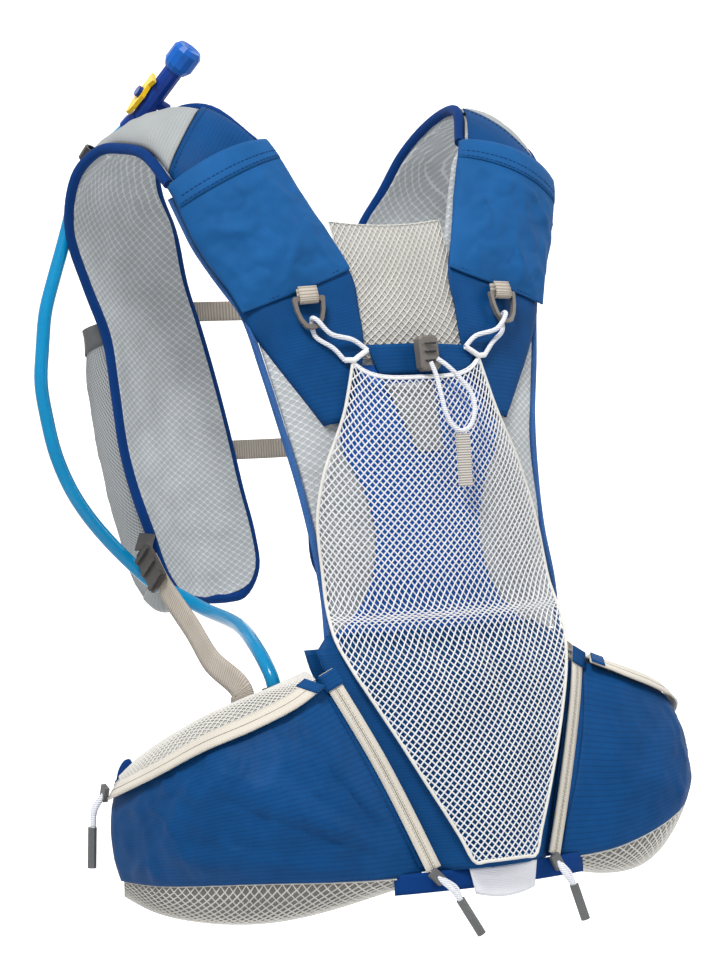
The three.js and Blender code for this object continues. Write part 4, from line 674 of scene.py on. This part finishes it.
def stage_and_camera(lens):
    """Makes the camera at the photograph's place, a pale floor and backdrop, and soft light."""
    scene = bpy.context.scene
    azimuth, elevation, roll = math.radians(-27.97), math.radians(0.36), math.radians(-3.5)
    ahead = Vector((-math.sin(azimuth) * math.cos(elevation), math.cos(azimuth) * math.cos(elevation),
                    -math.sin(elevation)))
    right = Vector((math.cos(azimuth), math.sin(azimuth), 0))
    up = right.cross(ahead)
    right, up = (right * math.cos(roll) + up * math.sin(roll), up * math.cos(roll) - right * math.sin(roll))
    distance, shift_right, shift_up = 3070, 11.6, 27.8
    ahead = (ahead * distance + right * shift_right + up * shift_up).normalized()
    right = (right - ahead * right.dot(ahead)).normalized()
    up = right.cross(ahead)
    data = bpy.data.cameras.new("camera")
    data.lens, data.sensor_width = lens, 36
    camera = bpy.data.objects.new("camera", data)
    camera.matrix_world = Matrix((
        (right.x, up.x, -ahead.x, -0.89507), (right.y, up.y, -ahead.y, -1.68572),
        (right.z, up.z, -ahead.z, -0.24788), (0, 0, 0, 1)))
    scene.collection.objects.link(camera)
    scene.camera = camera
    upright = Matrix.Rotation(math.radians(90), 4, "X")
    behind = Matrix.Translation((1.5, 2.8, 0)) @ Matrix.Rotation(math.radians(-28), 4, "Z") @ upright
    for name, size, place in (("floor", 1, Matrix.Translation((0, 0, -0.8))), ("backdrop", 4, behind)):
        bm = bmesh.new()
        bmesh.ops.create_grid(bm, x_segments=2, y_segments=2, size=size, matrix=place)
        board = from_bmesh(name, bm)
        scene.collection.objects.link(board)
        pale = bpy.data.materials.new("pale_" + name)
        pale.use_nodes = True
        paint = pale.node_tree.nodes["Principled BSDF"].inputs
        paint["Base Color"].default_value = linear("F6F6F6")
        paint["Roughness"].default_value = 0.9
        if name == "backdrop":
            paint["Emission Color"].default_value = (1, 1, 1, 1)
            paint["Emission Strength"].default_value = 0.75
        board.data.materials.append(pale)
    world = bpy.data.worlds.new("studio")
    scene.world = world
    world.use_nodes = True
    world.node_tree.nodes["Background"].inputs[0].default_value = (1, 1, 1, 1)
    world.node_tree.nodes["Background"].inputs[1].default_value = 0.55
    scene.view_settings.view_transform = "Standard"
    lights = (("key", (-1.3, -1.3, 2.1), 0.8, 78), ("fill", (1.8, -1.2, 0.6), 1.2, 14))
    for name, place, size, power in lights:
        light = bpy.data.lights.new(name, "AREA")
        light.energy, light.size = power, size
        lamp = bpy.data.objects.new(name, light)
        lamp.location = place
        lamp.rotation_mode = "QUATERNION"
        lamp.rotation_quaternion = (Vector((0, 0, -0.25)) - Vector(place)).to_track_quat("-Z", "Y")
        scene.collection.objects.link(lamp)


def cords(hose_radius):
    """Makes the drinking hose with its elbow, the loop cord and the two elastic cords."""
    route = [Vector(p) * 1000 for p in TUBE_ROUTE]
    hose = tube("drinking_hose", route, hose_radius, "tube", ["drinking_tube"], 120)
    start = 1 - 0.55 / (len(route) - 1)
    valve_foot = Vector((-108.6, 35.2, -7.3))
    elbow = [spline(route, mix(start, 1, i / 6), True) for i in range(6)] + [valve_foot]
    tube("hose_elbow", elbow, 5.2, "valve", count=24)
    line_length(route, 120)
    route = [Vector(p) * 1000 for p in LOOP_ROUTE]
    loop = tube("loop_cord", route, CORD_RADIUS, "cord", ["cord_loop"], 60)
    line_length(route)
    low, half = -NET_ROWS[0]["drop"] * WAIST_DROP, NET_ROWS[0]["half"] * SHOULDER_HALF
    inner, r = RING_Z - 4.8, CORD_RADIUS
    for name, side in SIDES:
        spots = [
            (half + 4, low - 1, OVER_YOKE + r + GAP), (half + 10, low + 6, OVER_YOKE + r + 1),
            (RING_X - 1.5, RING_Z - 12.4, OVER_YOKE + r + GAP),
            (RING_X - 0.6, inner, OVER_YOKE + r + GAP + 0.4),
            (RING_X - 0.4, inner + 1.8, RING_OFF), (RING_X - 2, inner, RING_OFF + 1.3 + r + GAP),
            (RING_X - 9, RING_Z - 12.4, RING_OFF + 2), (half - 2, low + 10, OVER_YOKE + r + 2),
            (half - 10, low + 4, OVER_YOKE + r + TAPE + 2 * GAP)]
        points = [back(side * x, z, off) for x, z, off in spots]
        line = tube(f"elastic_line_{name}", points, r, "cord", [f"elastic_cord_{name}"], 60)
        line_length(points)
        corner = net_point(0.5 + side * 0.5, 0, 1)
        knot = [points[0], corner.lerp(points[0], 0.3), corner, corner.lerp(points[-1], 0.4), points[-1]]
        tube(f"net_corner_{name}", knot, 1.6, "net", count=24)


def back_half(z):
    """Half the width of the back at a height."""
    return along_rows(BACK_EDGE_ROWS, "drop", "half", -z / WAIST_DROP) * SHOULDER_HALF


def back_pieces():
    """Makes the back pad, the panel and tongue under the net, the neck net and the mesh edges."""
    meet = STRAP_ROWS[3]
    inner, outer = meet["neckX"] * SHOULDER_HALF, meet["armX"] * SHOULDER_HALF
    top = -meet["neckDrop"] * FRONT_DROP
    slope = (meet["armDrop"] - meet["neckDrop"]) * FRONT_DROP / (outer - inner)
    inset = 2 * EDGE_RADIUS + GAP

    def spread(side, z):
        """The right side of the waist hangs a little wider than the left."""
        low = -z / WAIST_DROP
        return 1 + (0.2 * smooth(low, 0.62, 0.84) + 0.19 * smooth(low, 0.8, 0.95) if side > 0 else 0)

    def panel(u, v):
        w = 2 * u - 1
        high = top - max(0, abs(w) * (outer - inset) - inner) * slope - GAP
        z = high + v * (-WAIST_DROP - high)
        return back(w * (back_half(z) * spread(w, z) - inset), z, 0)
    cloth("back_pad", panel, 48, 50, "air", PAD, ["back_panel"], pad=True, inside=Vector((0, 0, -170)))

    def centre(u, v):
        z = -WAIST_DROP * mix(CENTRE_ROWS[0]["drop"], CENTRE_ROWS[-1]["drop"], v)
        half = along_rows(CENTRE_ROWS, "drop", "half", -z / WAIST_DROP) * SHOULDER_HALF
        return back((2 * u - 1) * half, z, CENTRE_OFF)
    cloth("hourglass_panel", centre, 24, 60, "centre", 0.8, ["centre_panel"], slack=0.7)

    def tongue(u, v):
        x = mix(mix(-0.147, -0.03, v), mix(0.067, 0.08, v), u) * SHOULDER_HALF
        return back(x, -WAIST_DROP * mix(0.55, 0.67, v), CENTRE_OFF + CLOTH + 2 * GAP)
    cloth("tongue", tongue, 8, 16, "cap", 0.8, ["centre_tongue"], slack=0.4)

    def neck_x(z):
        row = 3 - (top - z) / (top + STRAP_ROWS[4]["neckDrop"] * FRONT_DROP)
        return strap_surface(0, min(max(row, 1), 4)).x

    def upper(u, v):
        w = 2 * u - 1
        high, low = -0.278 * FRONT_DROP - 3 * (1 - w * w), -STRAP_ROWS[1]["neckDrop"] * FRONT_DROP + 1
        z = high + v * (low - high)
        return back(w * (neck_x(z) + 6), z, PAD + GAP)
    cloth("neck_lining", upper, 24, 24, "lining", 0.5)
    strand_net("neck_net", lambda u, v: upper(u, v) + Vector((0, -0.9, 0)), 42, 34, 1.05,
               ["upper_back_mesh"], mat="beige")
    for name, side in SIDES:
        high = [strap_point(1, row, PAD / 2, side) for row in (4.9, 4.4, 4, 3.5, 3.15)]
        low = []
        z = -0.415 * WAIST_DROP
        while z > -1.03 * WAIST_DROP:
            wide = back_half(max(z, -WAIST_DROP)) * spread(side, z)
            low.append(back(side * (wide - EDGE_RADIUS), z, PAD / 2 + 1))
            z -= 0.1 * WAIST_DROP
        tube(f"mesh_edge_{name}", high + low, EDGE_RADIUS, "air_blue", [f"back_edge_{name}"])


def shoulders(pouch_swell):
    """Makes the yokes, the caps over the crests, and the shoulder pouches with their seams."""
    for name, side in SIDES:
        def yoke(u, v):
            row = 0.02 + v * (mix(6.3, 5.3, u) - 0.02)
            keep = min(BINDING + GAP, strap_width(row) * 0.2) / strap_width(row) * smooth(row, 3, 5)
            return strap_point(keep + u * (1 - 2 * keep), row, YOKE_OFF - 3.4 * max(0, 2 * u - 1) ** 8, side)
        cloth(f"yoke_cloth_{name}", yoke, 20, 50, "blue", 0.9, [f"yoke_{name}"], slack=0.8)

        def cap(u, v):
            start = mix(6.3, 5.3, u) + 0.03
            row = start + v * (9.4 - start)
            keep = (BINDING + GAP) / strap_width(row)
            return strap_point(keep + u * (1 - 2 * keep), row, YOKE_OFF - 3.4 * abs(2 * u - 1) ** 8, side)
        cloth(f"cap_cloth_{name}", cap, 16, 28, "cap", 0.9, [f"shoulder_cap_{name}"], slack=1.2)

        def pocket(u, v, off=0.0):
            low = 3 - 0.6 * u
            swell = math.sin(math.pi * u) ** 0.7 * min(1, 3 * v) * (0.75 + 0.25 * math.sin(math.pi * v))
            return strap_point(u, low + v * (5 - low), OVER_YOKE + pouch_swell * swell + off, side)
        # the pouch and its hem take the lighter nylon, which is painted light from above on their upward
        # faces
        cloth(f"pouch_{name}", pocket, 48, 48, "pouch", 1.0, [f"shoulder_pocket_{name}"], slack=3.8,
              calm=0.86)
        cloth(f"pouch_hem_{name}", lambda u, v: pocket(u, 0.86 + 0.14 * v, 1.1), 36, 6, "pouch", 0.6)
        for n, (v, off) in enumerate(((0.875, 1.8), (0.91, 1.8), (0.03, 1.2))):
            stitches(f"pouch_stitch_{n}_{name}", lambda t: pocket(0.02 + 0.96 * t, v, off))
        stitches(f"cap_stitch_{name}",
                 lambda t: strap_point(0.1 + 0.8 * t, mix(6.2, 5.2, t), YOKE_OFF + 1.1, side))


def front_straps(flask_swell):
    """Makes the front pads with their edge tape, and the flask sleeves."""
    for name, side in SIDES:
        def panel(u, v):
            row = 3.05 + v * (LAST - 0.3 - 0.9 * abs(2 * u - 1) ** 3 - 3.05)
            bound = smooth(row, 4.75, 5.15)
            neck, arm = mix(GAP, BINDING * 0.6, bound), mix(EDGE_RADIUS + 0.6, BINDING * 0.6, bound)
            width = strap_width(row)
            spot = strap_point(mix(neck, width - arm, u) / width, row, 0, side)
            sink = 3.2 * ruffle(spot, 1.0, 44) * math.sin(math.pi * u) * smooth(row, 5, 8)
            return strap_point(mix(neck, width - arm, u) / width, row, sink - 1.2, side)
        cloth(f"strap_pad_{name}", panel, 24, 120, "air", PAD, [f"front_panel_{name}"], pad=True)

        def rim(first, row):
            inset = BINDING / 2 / strap_width(row)
            lift = 3.4 * smooth(row, 4.9, 5.7) * (1 - smooth(row, 8.6, 9.8))
            return strap_point(inset if first else 1 - inset, row, PAD / 2 + lift, side)
        rows = [5.15 + i for i in range(14)]
        end = [strap_point(u, LAST - 0.12 - 0.9 * abs(2 * u - 1) ** 3, PAD / 2, side)
               for u in (0.06, 0.16, 0.3, 0.5, 0.7, 0.84, 0.94)]
        edge = [rim(True, r) for r in rows] + end + [rim(False, r) for r in reversed(rows)]
        tube(f"edge_tape_{name}", edge, BINDING / 2, "binding", [f"binding_{name}"], 160)

        def sleeve(u, v, off=0.0):
            high = 13.3 - 0.5 * u
            row = high + v * (LAST - 0.5 - 0.9 * abs(2 * u - 1) ** 3 - high)
            angle = math.pi * u
            across = 0.59 - math.cos(angle) * (0.3 + 0.14 * math.sin(angle) + 0.014 * off)
            full = (1 - v**12) ** 0.5 * (0.64 + 0.26 * smooth(v, 0, 0.16) + 0.1 * smooth(v, 0.4, 0.7))
            stand = flask_swell * full * max(math.sin(angle), 0) ** 0.75
            return strap_point(across, row, PAD + 4 * GAP + stand + off, side)
        cloth(f"sleeve_{name}", sleeve, 36, 44, "knit", 1.1, [f"front_pocket_{name}"], slack=1.0)
        cloth(f"sleeve_rim_{name}", lambda u, v: sleeve(u, 0.07 * v, 1.2), 36, 4, "pull", 0.6)
        cloth(f"sleeve_base_{name}", lambda u, v: sleeve(u, 0.9 + 0.1 * v, 1.2), 36, 12, "cap", 0.6)


def net_pocket(thread):
    """Makes the coarse net with its rim, and the band that carries the cord lock."""
    strand_net("coarse_net", net_lattice, 74, 124, thread, ["stretch_pocket"])
    rim = [net_point(0, v / 20) for v in range(21)] + [net_point(u / 6, 1) for u in range(1, 7)]
    rim += [net_point(1, 1 - v / 20) for v in range(1, 21)]
    tube("net_rim", rim, 1.0, "beige", count=160)
    tube("net_top", [net_point(i / 20, 0.004, 0.2) for i in range(21)], 0.9, "net")

    def band_cloth(u, v):
        x = mix(-0.21 * SHOULDER_HALF + 6 * v, 0.27 * SHOULDER_HALF - 5 * v, u)
        return back(x, -0.481 * WAIST_DROP - 5 * max(0, u - 0.5) - v * 18, OVER_YOKE)
    cloth("lock_band", band_cloth, 24, 8, "blue", 1.1, ["cord_band"], slack=0.4)


def pack_ring(drop, u):
    """A point round the pack: its outer side up to u 0.5, then its body side."""
    column = {c: along_rows(PACK_ROWS, "drop", c, drop) for c in ("half", "edge", "middle", "body")}
    half, z = column["half"] * HIP_HALF, -WAIST_DROP - drop * HIP_RISE
    if u < 0.5:
        w = 4 * u - 1
        return Vector((w * half, -PACK_DEPTH * mix(column["middle"], column["edge"], abs(w) ** 2.2), z))
    return Vector(((3 - 4 * u) * half, -column["body"] * PACK_DEPTH, z))


def pack():
    """Makes the pack's shell and lid, the reflective flap, the hem, and the zips."""
    def shell(u, v):
        p = pack_ring(min(0.006 + v * 1.04, 1.0), u)
        close = smooth(v, 0.96, 1.0)
        middle = Vector((0, -0.8 * PACK_DEPTH, p.z))
        return p.lerp(middle, close * 0.96)
    cloth("pack_cloth", shell, 72, 40, "blue", 1.0, ["lumbar_pack"], slack=1.2,
          inside=Vector((0, -0.7 * PACK_DEPTH, -400)))

    def lid(u, v):
        low = pack_ring(0.012, u / 2)
        return back(low.x * 0.8, -WAIST_DROP + 6, CENTRE_OFF + 0.5).lerp(low, v)
    cloth("pack_lid", lid, 30, 8, "blue", 0.8)

    def reflective(u, v):
        w = 2 * u - 1
        v *= 1 - 0.18 * w * w
        x = w * mix(0.15, 0.125, v) * SHOULDER_HALF + 3
        return Vector((x, -PACK_DEPTH * mix(0.968, 0.975, v) + w * w,
                       -WAIST_DROP - HIP_RISE * mix(1.0, 1.14, v)))
    cloth("reflective_flap", reflective, 16, 8, "reflective", 1.1, ["reflective_tab"])

    def hem(u, v):
        w = 2 * u - 1
        return Vector((w * 0.35 * HIP_HALF, -PACK_DEPTH * (0.955 - 0.057 * w * w),
                       -WAIST_DROP - HIP_RISE * mix(1.0, 1.09, v)))
    cloth("hem_band", hem, 24, 4, "binding", 1.1, ["bottom_band"])
    for name, side in SIDES:
        line = []
        for drop in (0.1, 0.3, 0.5, 0.7, 0.9, 0.99):
            x = along_rows(PACK_ROWS, "drop", "half", drop) * HIP_HALF + 2
            y = -along_rows(PACK_ROWS, "drop", "edge", drop) * PACK_DEPTH - 5
            line.append(Vector((x * side, y, -WAIST_DROP - drop * HIP_RISE)))
        end = line[-1] + Vector((0, -3.6, -4))
        knee, last = end + Vector((6 - 2 * side, -3, -8)), end + Vector((10.5 - 2 * side, -4.2, -15))
        pull_cord(f"pack_pull_cord_{name}", end, knee, last, Vector((2.6, 0, 0.8)))
        zip_line(f"pack_zip_tape_{name}", line, lambda v, s=side: Vector((s * 0.3, -0.95, 0)),
                 f"pack_zip_{name}", 9, True)


def pull_cord(name, end, knee, last, aside):
    """The white cord of a zip pull, doubled."""
    tube(name, [end, knee, last], 1.7, "cord", count=16)
    tube(name + "_twin", [end + aside * 0.4, knee + aside, last], 1.1, "cord", count=16)


def zip_line(name, points, face, node, width, stitched):
    """Zip tape with a narrow seam down its middle and a blue cloth end."""
    band(name, points, width, TAPE, face, "zip", [node], 60)

    def beside(t, across, lift):
        line = spline(points, min(t + 0.01, 1), True) - spline(points, max(t - 0.01, 0), True)
        out = face(t).normalized()
        return spline(points, t, True) + line.cross(out).normalized() * across + out * lift
    tube(name + "_seam", [beside(i / 30, 0, 1.2) for i in range(31)], 0.3, "pale_thread")
    if stitched:
        for across in (-1.0, 1.0):
            stitches(f"{name}_teeth_{'a' if across < 0 else 'b'}", lambda t: beside(t, across, TAPE), 2.0,
                     0.2, "pale_thread")
    end = [beside(0.07 * i / 4, 0, 1.5) for i in range(5)]
    band(name + "_end", end, width + 2.5, 0.8, lambda v: face(0.07 * v), "blue", count=8)


def hip_wings():
    """Makes the wings' cloth, gussets, ends, linings, nets and zips, with a dark sheet of painted shade
    behind each bottle net.
    """
    for name, side in SIDES:
        hip = Vector((side * 126, -82, -395))

        def hem_share(u, side=side):
            return 1.015 - (0.3 * smooth(u, 0.08, 0.7) if side > 0 else 0.05 * math.sin(math.pi * u) ** 2)

        def front(u, v):
            share = 0.01 + u * 0.98
            p = wing_face(share, mix(0.03, hem_share(share), v))
            reach = math.hypot(1.7 * u, 1 - v)
            fold = 5.5 * math.sin(math.atan2(1 - v, 1.7 * u + 0.02) * 11) * math.sin(math.pi * v) ** 0.7
            fold *= smooth(reach, 0.12, 0.5) * (1 - smooth(reach, 0.8, 1.5)) * (0.15 if side > 0 else 1)
            out = (p - Vector((0, HIP_Y, p.z))).normalized()
            return mirrored(p + out * max(fold, 0), side)
        cloth(f"wing_cloth_{name}", front, 70, 40, "blue", 1.0, [f"wing_front_{name}"],
              slack=2.0 if side > 0 else 3.4, inside=HIP_INSIDE)

        def gusset(u, v):
            b = wing_face(0.014, 0.02 + 0.98 * v)
            drop = min(max((-b.z - WAIST_DROP) / HIP_RISE, 0.01), 1)
            half = along_rows(PACK_ROWS, "drop", "half", drop) * HIP_HALF
            edge = along_rows(PACK_ROWS, "drop", "edge", drop) * PACK_DEPTH
            return mirrored(Vector((half - 2, -edge - 1.0, b.z)).lerp(b, u), side)
        cloth(f"wing_gusset_{name}", gusset, 8, 30, "blue", 0.8, inside=HIP_INSIDE)

        def tip(u, v):
            arch = 6 * math.sin(math.pi * min(u, 0.9) / 0.9) ** 0.5
            return mirrored(spline(BODY_TOP, mix(0.86, 0.985, u)), side) + Vector((0, 0, mix(-3, arch, v)))
        cloth(f"wing_tip_{name}", tip, 10, 4, "binding", 1.0, inside=Vector((0, HIP_Y, -340)))

        def body(u, v):
            share = 0.02 + u * 0.97
            return mirrored(spline(BODY_TOP, share).lerp(spline(BODY_HEM, share), 0.02 + 0.96 * v), side)
        cloth(f"wing_lining_{name}", body, 30, 16, "air", 1.1, [f"wing_back_{name}"],
              inside=HIP_INSIDE)

        def outer_end(u, v):
            seam = spline(BODY_TOP, 0.985).lerp(spline(BODY_HEM, 0.985), 0.02 + 0.96 * v)
            return mirrored(wing_face(0.985, 0.05 + 0.93 * v).lerp(seam, u), side)
        cloth(f"wing_end_{name}", outer_end, 6, 20, "blue", 0.8, inside=HIP_INSIDE)

        def upper(u, v):
            share = 0.02 + u * 0.94
            p = spline(WING_TOP, share).lerp(spline(BODY_TOP, share), 0.02 + v * 0.9)
            p.z += 5 * math.sin(math.pi * v) * math.sin(math.pi * share)
            return mirrored(p, side)
        cloth(f"wing_top_lining_{name}", upper, 44, 16, "lining", 0.5, inside=hip - Vector((0, 0, 70)))
        strand_net(f"wing_top_net_{name}", lambda u, v: upper(u, v) + Vector((0, 0, 1.1)), 64, 20, 1.1,
                   [f"wing_net_{name}"], mat="beige")

        def below(u, v):
            share = 0.01 + u * 0.97
            p = wing_face(share, hem_share(share)).lerp(spline(BODY_HEM, share), v * 0.96)
            sag = max(math.sin(math.pi * v), 0) ** 0.8 * (0.3 + 0.7 * math.sin(math.pi * share))
            p.z -= 22 * sag
            return mirrored(p, side)
        # a dark sheet of painted shade behind the bottle net, standing for the shaded inside of the pocket
        cloth(f"bottle_shade_sheet_{name}", below, 40, 20, "shade", 0.5, inside=hip)
        strand_net(f"bottle_net_{name}_threads", lambda u, v: below(u, v) - Vector((0, 0, 1.0)), 66, 28, 1.3,
                   [f"bottle_net_{name}"], "beige")

        line = []
        for i in range(13):
            spot = wing_face(0.03 + 0.95 * i / 12, 0.03)
            out = spot - Vector((0, HIP_Y, spot.z))
            out = out.normalized() * 0.7 + Vector((0, 0, 0.7))
            line.append(mirrored(spot + out * 3.4, side))

        end = mirrored(wing_face(0.985, 0.03), side) + Vector((side * 6.7, 1, 2.5))
        knee, last = end + Vector((side * 5, 5, -10)), end + Vector((side * 6, 7, -21))
        pull_cord(f"wing_pull_cord_{name}", end, knee, last, Vector((0, 2.6, 0.8)))

        def face(v, line=line, s=side):
            spot = spline(line, v, True)
            return (spot - Vector((0, HIP_Y, spot.z))).normalized() * 0.75 + Vector((0, 0, 0.65))
        zip_line(f"wing_zip_tape_{name}", line, face, f"wing_zip_{name}", 12, False)


def webbing():
    """Makes the chest straps with their clasps, the side straps and the ring tabs."""
    for row, name in ((12.7, "upper"), (15.4, "lower")):
        end, near = strap_point(0.22, row, PAD + 4 * GAP, 1), strap_point(0.02, row, PAD + 6 * GAP, 1)
        middle = Vector((0, near.y + 3, near.z))
        points = [mirrored(end, -1), mirrored(near, -1), middle, near, end]
        band(f"chest_band_{name}", points, 12.5, TAPE, lambda v: Vector((0, 1, 0)), "webbing",
             [f"chest_strap_{name}"], 50)
        bm = bmesh.new()
        spot = Matrix.Translation((0.031, (middle.y + 2) / 1000, middle.z / 1000))
        bmesh.ops.create_cube(bm, size=1, matrix=spot @ Matrix.Diagonal((0.034, 0.005, 0.0165, 1)))
        clasp = settle(from_bmesh(f"clasp_{name}", bm), "dark")
        soft = clasp.modifiers.new("rounded", "BEVEL")
        soft.width, soft.segments = 0.0016, 3
    for name, side in SIDES:
        route = [Vector((side * r["x"] * SHOULDER_HALF, r["y"] * BODY_DEPTH, -r["drop"] * FRONT_DROP))
                 for r in SIDE_STRAP_ROUTE]
        seat = mirrored(spline(BODY_TOP, 0.39), side) + Vector((-side * 0.77, 0.64, 0)) * 2.5
        route += [seat + Vector((0, 0, 4)), seat + Vector((0, 0, -7))]
        start, end = Vector((side, 0.05, 0.2)).normalized(), Vector((side * 0.77, -0.64, 0))

        def face(v, start=start, end=end):
            return start.lerp(end, smooth(v, 0.3, 1))
        band(f"side_web_{name}", route, 15, TAPE, face, "webbing", [f"side_strap_{name}"], 60)
        ring_tab(name, side)


def ring_tab(name, side):
    """Makes the webbing tab that holds a ring."""
    spot = back(side * RING_X, RING_Z, RING_OFF)
    normal = (back(side * RING_X, RING_Z, 1) - back(side * RING_X, RING_Z, 0)).normalized()
    across = (Vector((1, 0, 0)) - normal * normal.x).normalized()
    up, turn, bar = normal.cross(across), 1.9, 8.7
    spots = [(7, -turn), (2.5, -turn), (0, -turn), (-turn * 0.75, -turn * 0.75), (-turn, 0),
             (-turn * 0.75, turn * 0.75), (0, turn), (3, turn), (7, turn * 0.4)]
    points = [spot + up * (bar + a) + normal * b for a, b in spots]
    centre = spot + up * (bar + 1)
    band(f"ring_web_{name}", points, 11.4, 1.1, lambda v: spline(points, v, True) - centre + normal * 0.01,
         "webbing", [f"ring_tab_{name}"], 40)


HARD_LOOKS = {
    "cord_lock": "plastic", "ring": "plastic", "ladder_lock": "lock", "pull_tab": "tab",
    "pack_zip_pull": "pull", "wing_zip_pull": "pull", "tube_keeper": "dark", "tube_port": "dark",
    "bite_valve": "valve", "mouthpiece": "mouth", "shutoff_lever": "lever",
}
ROUND_SOLIDS = ("mouthpiece", "bite_valve")


def fittings():
    """The hard solids keep their own shape and get their material. The cord lock gets three dark bars on its
    face, painted shade for its slots.
    """
    lo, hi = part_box("cord_lock")
    middle, wide, tall = (lo + hi) / 2, hi.x - lo.x, hi.z - lo.z
    # three dark bars on the lock's face: painted shade where its slots are
    bm = bmesh.new()
    for rise in (-0.2, 0.05, 0.27):
        spot = Matrix.Translation((middle.x, lo.y + 0.0002, middle.z + rise * tall))
        bar = Matrix.Diagonal((wide * 0.55, 0.0012, 0.0011, 1))
        bmesh.ops.create_cube(bm, size=1, matrix=spot @ bar)
    settle(from_bmesh("lock_slot_shade", bm), "dark")
    for start, look in HARD_LOOKS.items():
        for name in (start, start + "_left", start + "_right"):
            solid = bpy.data.objects.get(name)
            if solid:
                solid.data.shade_smooth()
                solid.data.set_sharp_from_angle(angle=0.95 if start in ROUND_SOLIDS else 0.75)
                if not solid.material_slots:
                    solid.data.materials.append(MAT[look])
                for slot in solid.material_slots:
                    slot.material = MAT[look]


class VestSettings(bpy.types.PropertyGroup):
    """The sizes and colours that a user would change"""
    lens: FloatProperty(name="Lens", description="Focal length of the camera", default=113.35,
                        unit="CAMERA")
    cloth: FloatVectorProperty(name="Cloth", description="Colour of the ripstop cloth", size=4, min=0, max=1,
                               default=linear("0A4378"), subtype="COLOR")
    tape: FloatVectorProperty(name="Edge tape", description="Colour of the edge tape", size=4, min=0, max=1,
                              default=linear("053C80"), subtype="COLOR")
    hose: FloatVectorProperty(name="Hose", description="Colour of the drinking hose", size=4, min=0, max=1,
                              default=linear("068ABC"), subtype="COLOR")
    lever: FloatVectorProperty(name="Lever", description="Colour of the shut-off lever", size=4, min=0,
                               max=1, default=linear("FACC0E"), subtype="COLOR")
    hose_radius: FloatProperty(name="Hose radius", description="Half the thickness of the hose",
                               default=0.0043, unit="LENGTH")
    pouch_swell: FloatProperty(name="Pouch swell", description="How far a shoulder pouch stands out",
                               default=0.008, unit="LENGTH")
    flask_swell: FloatProperty(name="Flask swell", description="How far a flask sleeve stands out",
                               default=0.036, unit="LENGTH")
    thread: FloatProperty(name="Net thread", description="Thickness of the coarse net's threads",
                          default=0.0013, unit="LENGTH")


class VEST_OT_finishes(bpy.types.Operator):
    """Makes the materials of every piece"""
    bl_idname, bl_label = "vest.finishes", "Finishes"

    def execute(self, context):
        finishes(context.scene.vest)
        return {"FINISHED"}


class VEST_OT_stage(bpy.types.Operator):
    """Makes the camera, floor, backdrop and lights"""
    bl_idname, bl_label = "vest.stage", "Stage"

    def execute(self, context):
        stage_and_camera(context.scene.vest.lens)
        return {"FINISHED"}


class VEST_OT_cords(bpy.types.Operator):
    """Makes the drinking tube and the elastic cords"""
    bl_idname, bl_label = "vest.cords", "Cords"

    def execute(self, context):
        cords(context.scene.vest.hose_radius * 1000)
        return {"FINISHED"}


class VEST_OT_back(bpy.types.Operator):
    """Makes the back pad, centre panel and neck net"""
    bl_idname, bl_label = "vest.back", "Back"

    def execute(self, context):
        back_pieces()
        return {"FINISHED"}


class VEST_OT_shoulders(bpy.types.Operator):
    """Makes the yokes, caps and shoulder pouches"""
    bl_idname, bl_label = "vest.shoulders", "Shoulders"

    def execute(self, context):
        shoulders(context.scene.vest.pouch_swell * 1000)
        return {"FINISHED"}


class VEST_OT_fronts(bpy.types.Operator):
    """Makes the front pads, edge tapes and flask sleeves"""
    bl_idname, bl_label = "vest.fronts", "Front straps"

    def execute(self, context):
        front_straps(context.scene.vest.flask_swell * 1000)
        return {"FINISHED"}


class VEST_OT_net(bpy.types.Operator):
    """Makes the coarse net pocket and the band of its lock"""
    bl_idname, bl_label = "vest.net", "Net pocket"

    def execute(self, context):
        net_pocket(context.scene.vest.thread * 1000)
        return {"FINISHED"}


class VEST_OT_pack(bpy.types.Operator):
    """Makes the lumbar pack, its zips, flap and hem"""
    bl_idname, bl_label = "vest.pack", "Pack"

    def execute(self, context):
        pack()
        return {"FINISHED"}


class VEST_OT_wings(bpy.types.Operator):
    """Makes the hip wings with their nets and zips"""
    bl_idname, bl_label = "vest.wings", "Hip wings"

    def execute(self, context):
        hip_wings()
        return {"FINISHED"}


class VEST_OT_webbing(bpy.types.Operator):
    """Makes the chest and side straps and the ring tabs"""
    bl_idname, bl_label = "vest.webbing", "Webbing"

    def execute(self, context):
        webbing()
        return {"FINISHED"}


class VEST_OT_fittings(bpy.types.Operator):
    """Gives the hard solids their materials"""
    bl_idname, bl_label = "vest.fittings", "Fittings"

    def execute(self, context):
        fittings()
        return {"FINISHED"}


OPERATORS = [
    VEST_OT_finishes, VEST_OT_stage, VEST_OT_cords, VEST_OT_back, VEST_OT_shoulders,
    VEST_OT_fronts, VEST_OT_net, VEST_OT_pack, VEST_OT_wings, VEST_OT_webbing, VEST_OT_fittings,
]


class VEST_PT_panel(bpy.types.Panel):
    """Buttons for every group of pieces"""
    bl_idname, bl_label = "VEST_PT_panel", "Vest"
    bl_space_type, bl_region_type, bl_category = "VIEW_3D", "UI", "Vest"

    def draw(self, context):
        for setting in VestSettings.__annotations__:
            self.layout.prop(context.scene.vest, setting)
        for kind in OPERATORS:
            self.layout.operator(kind.bl_idname)


def register():
    for kind in [VestSettings, *OPERATORS, VEST_PT_panel]:
        bpy.utils.register_class(kind)
    bpy.types.Scene.vest = bpy.props.PointerProperty(type=VestSettings)


def unregister():
    del bpy.types.Scene.vest
    for kind in [VEST_PT_panel, *reversed(OPERATORS), VestSettings]:
        bpy.utils.unregister_class(kind)


def main():
    register()
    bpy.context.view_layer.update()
    for kind in OPERATORS:
        getattr(bpy.ops.vest, kind.bl_idname.split(".")[1])()
    bpy.context.view_layer.update()


if __name__ == "__main__":
    main()
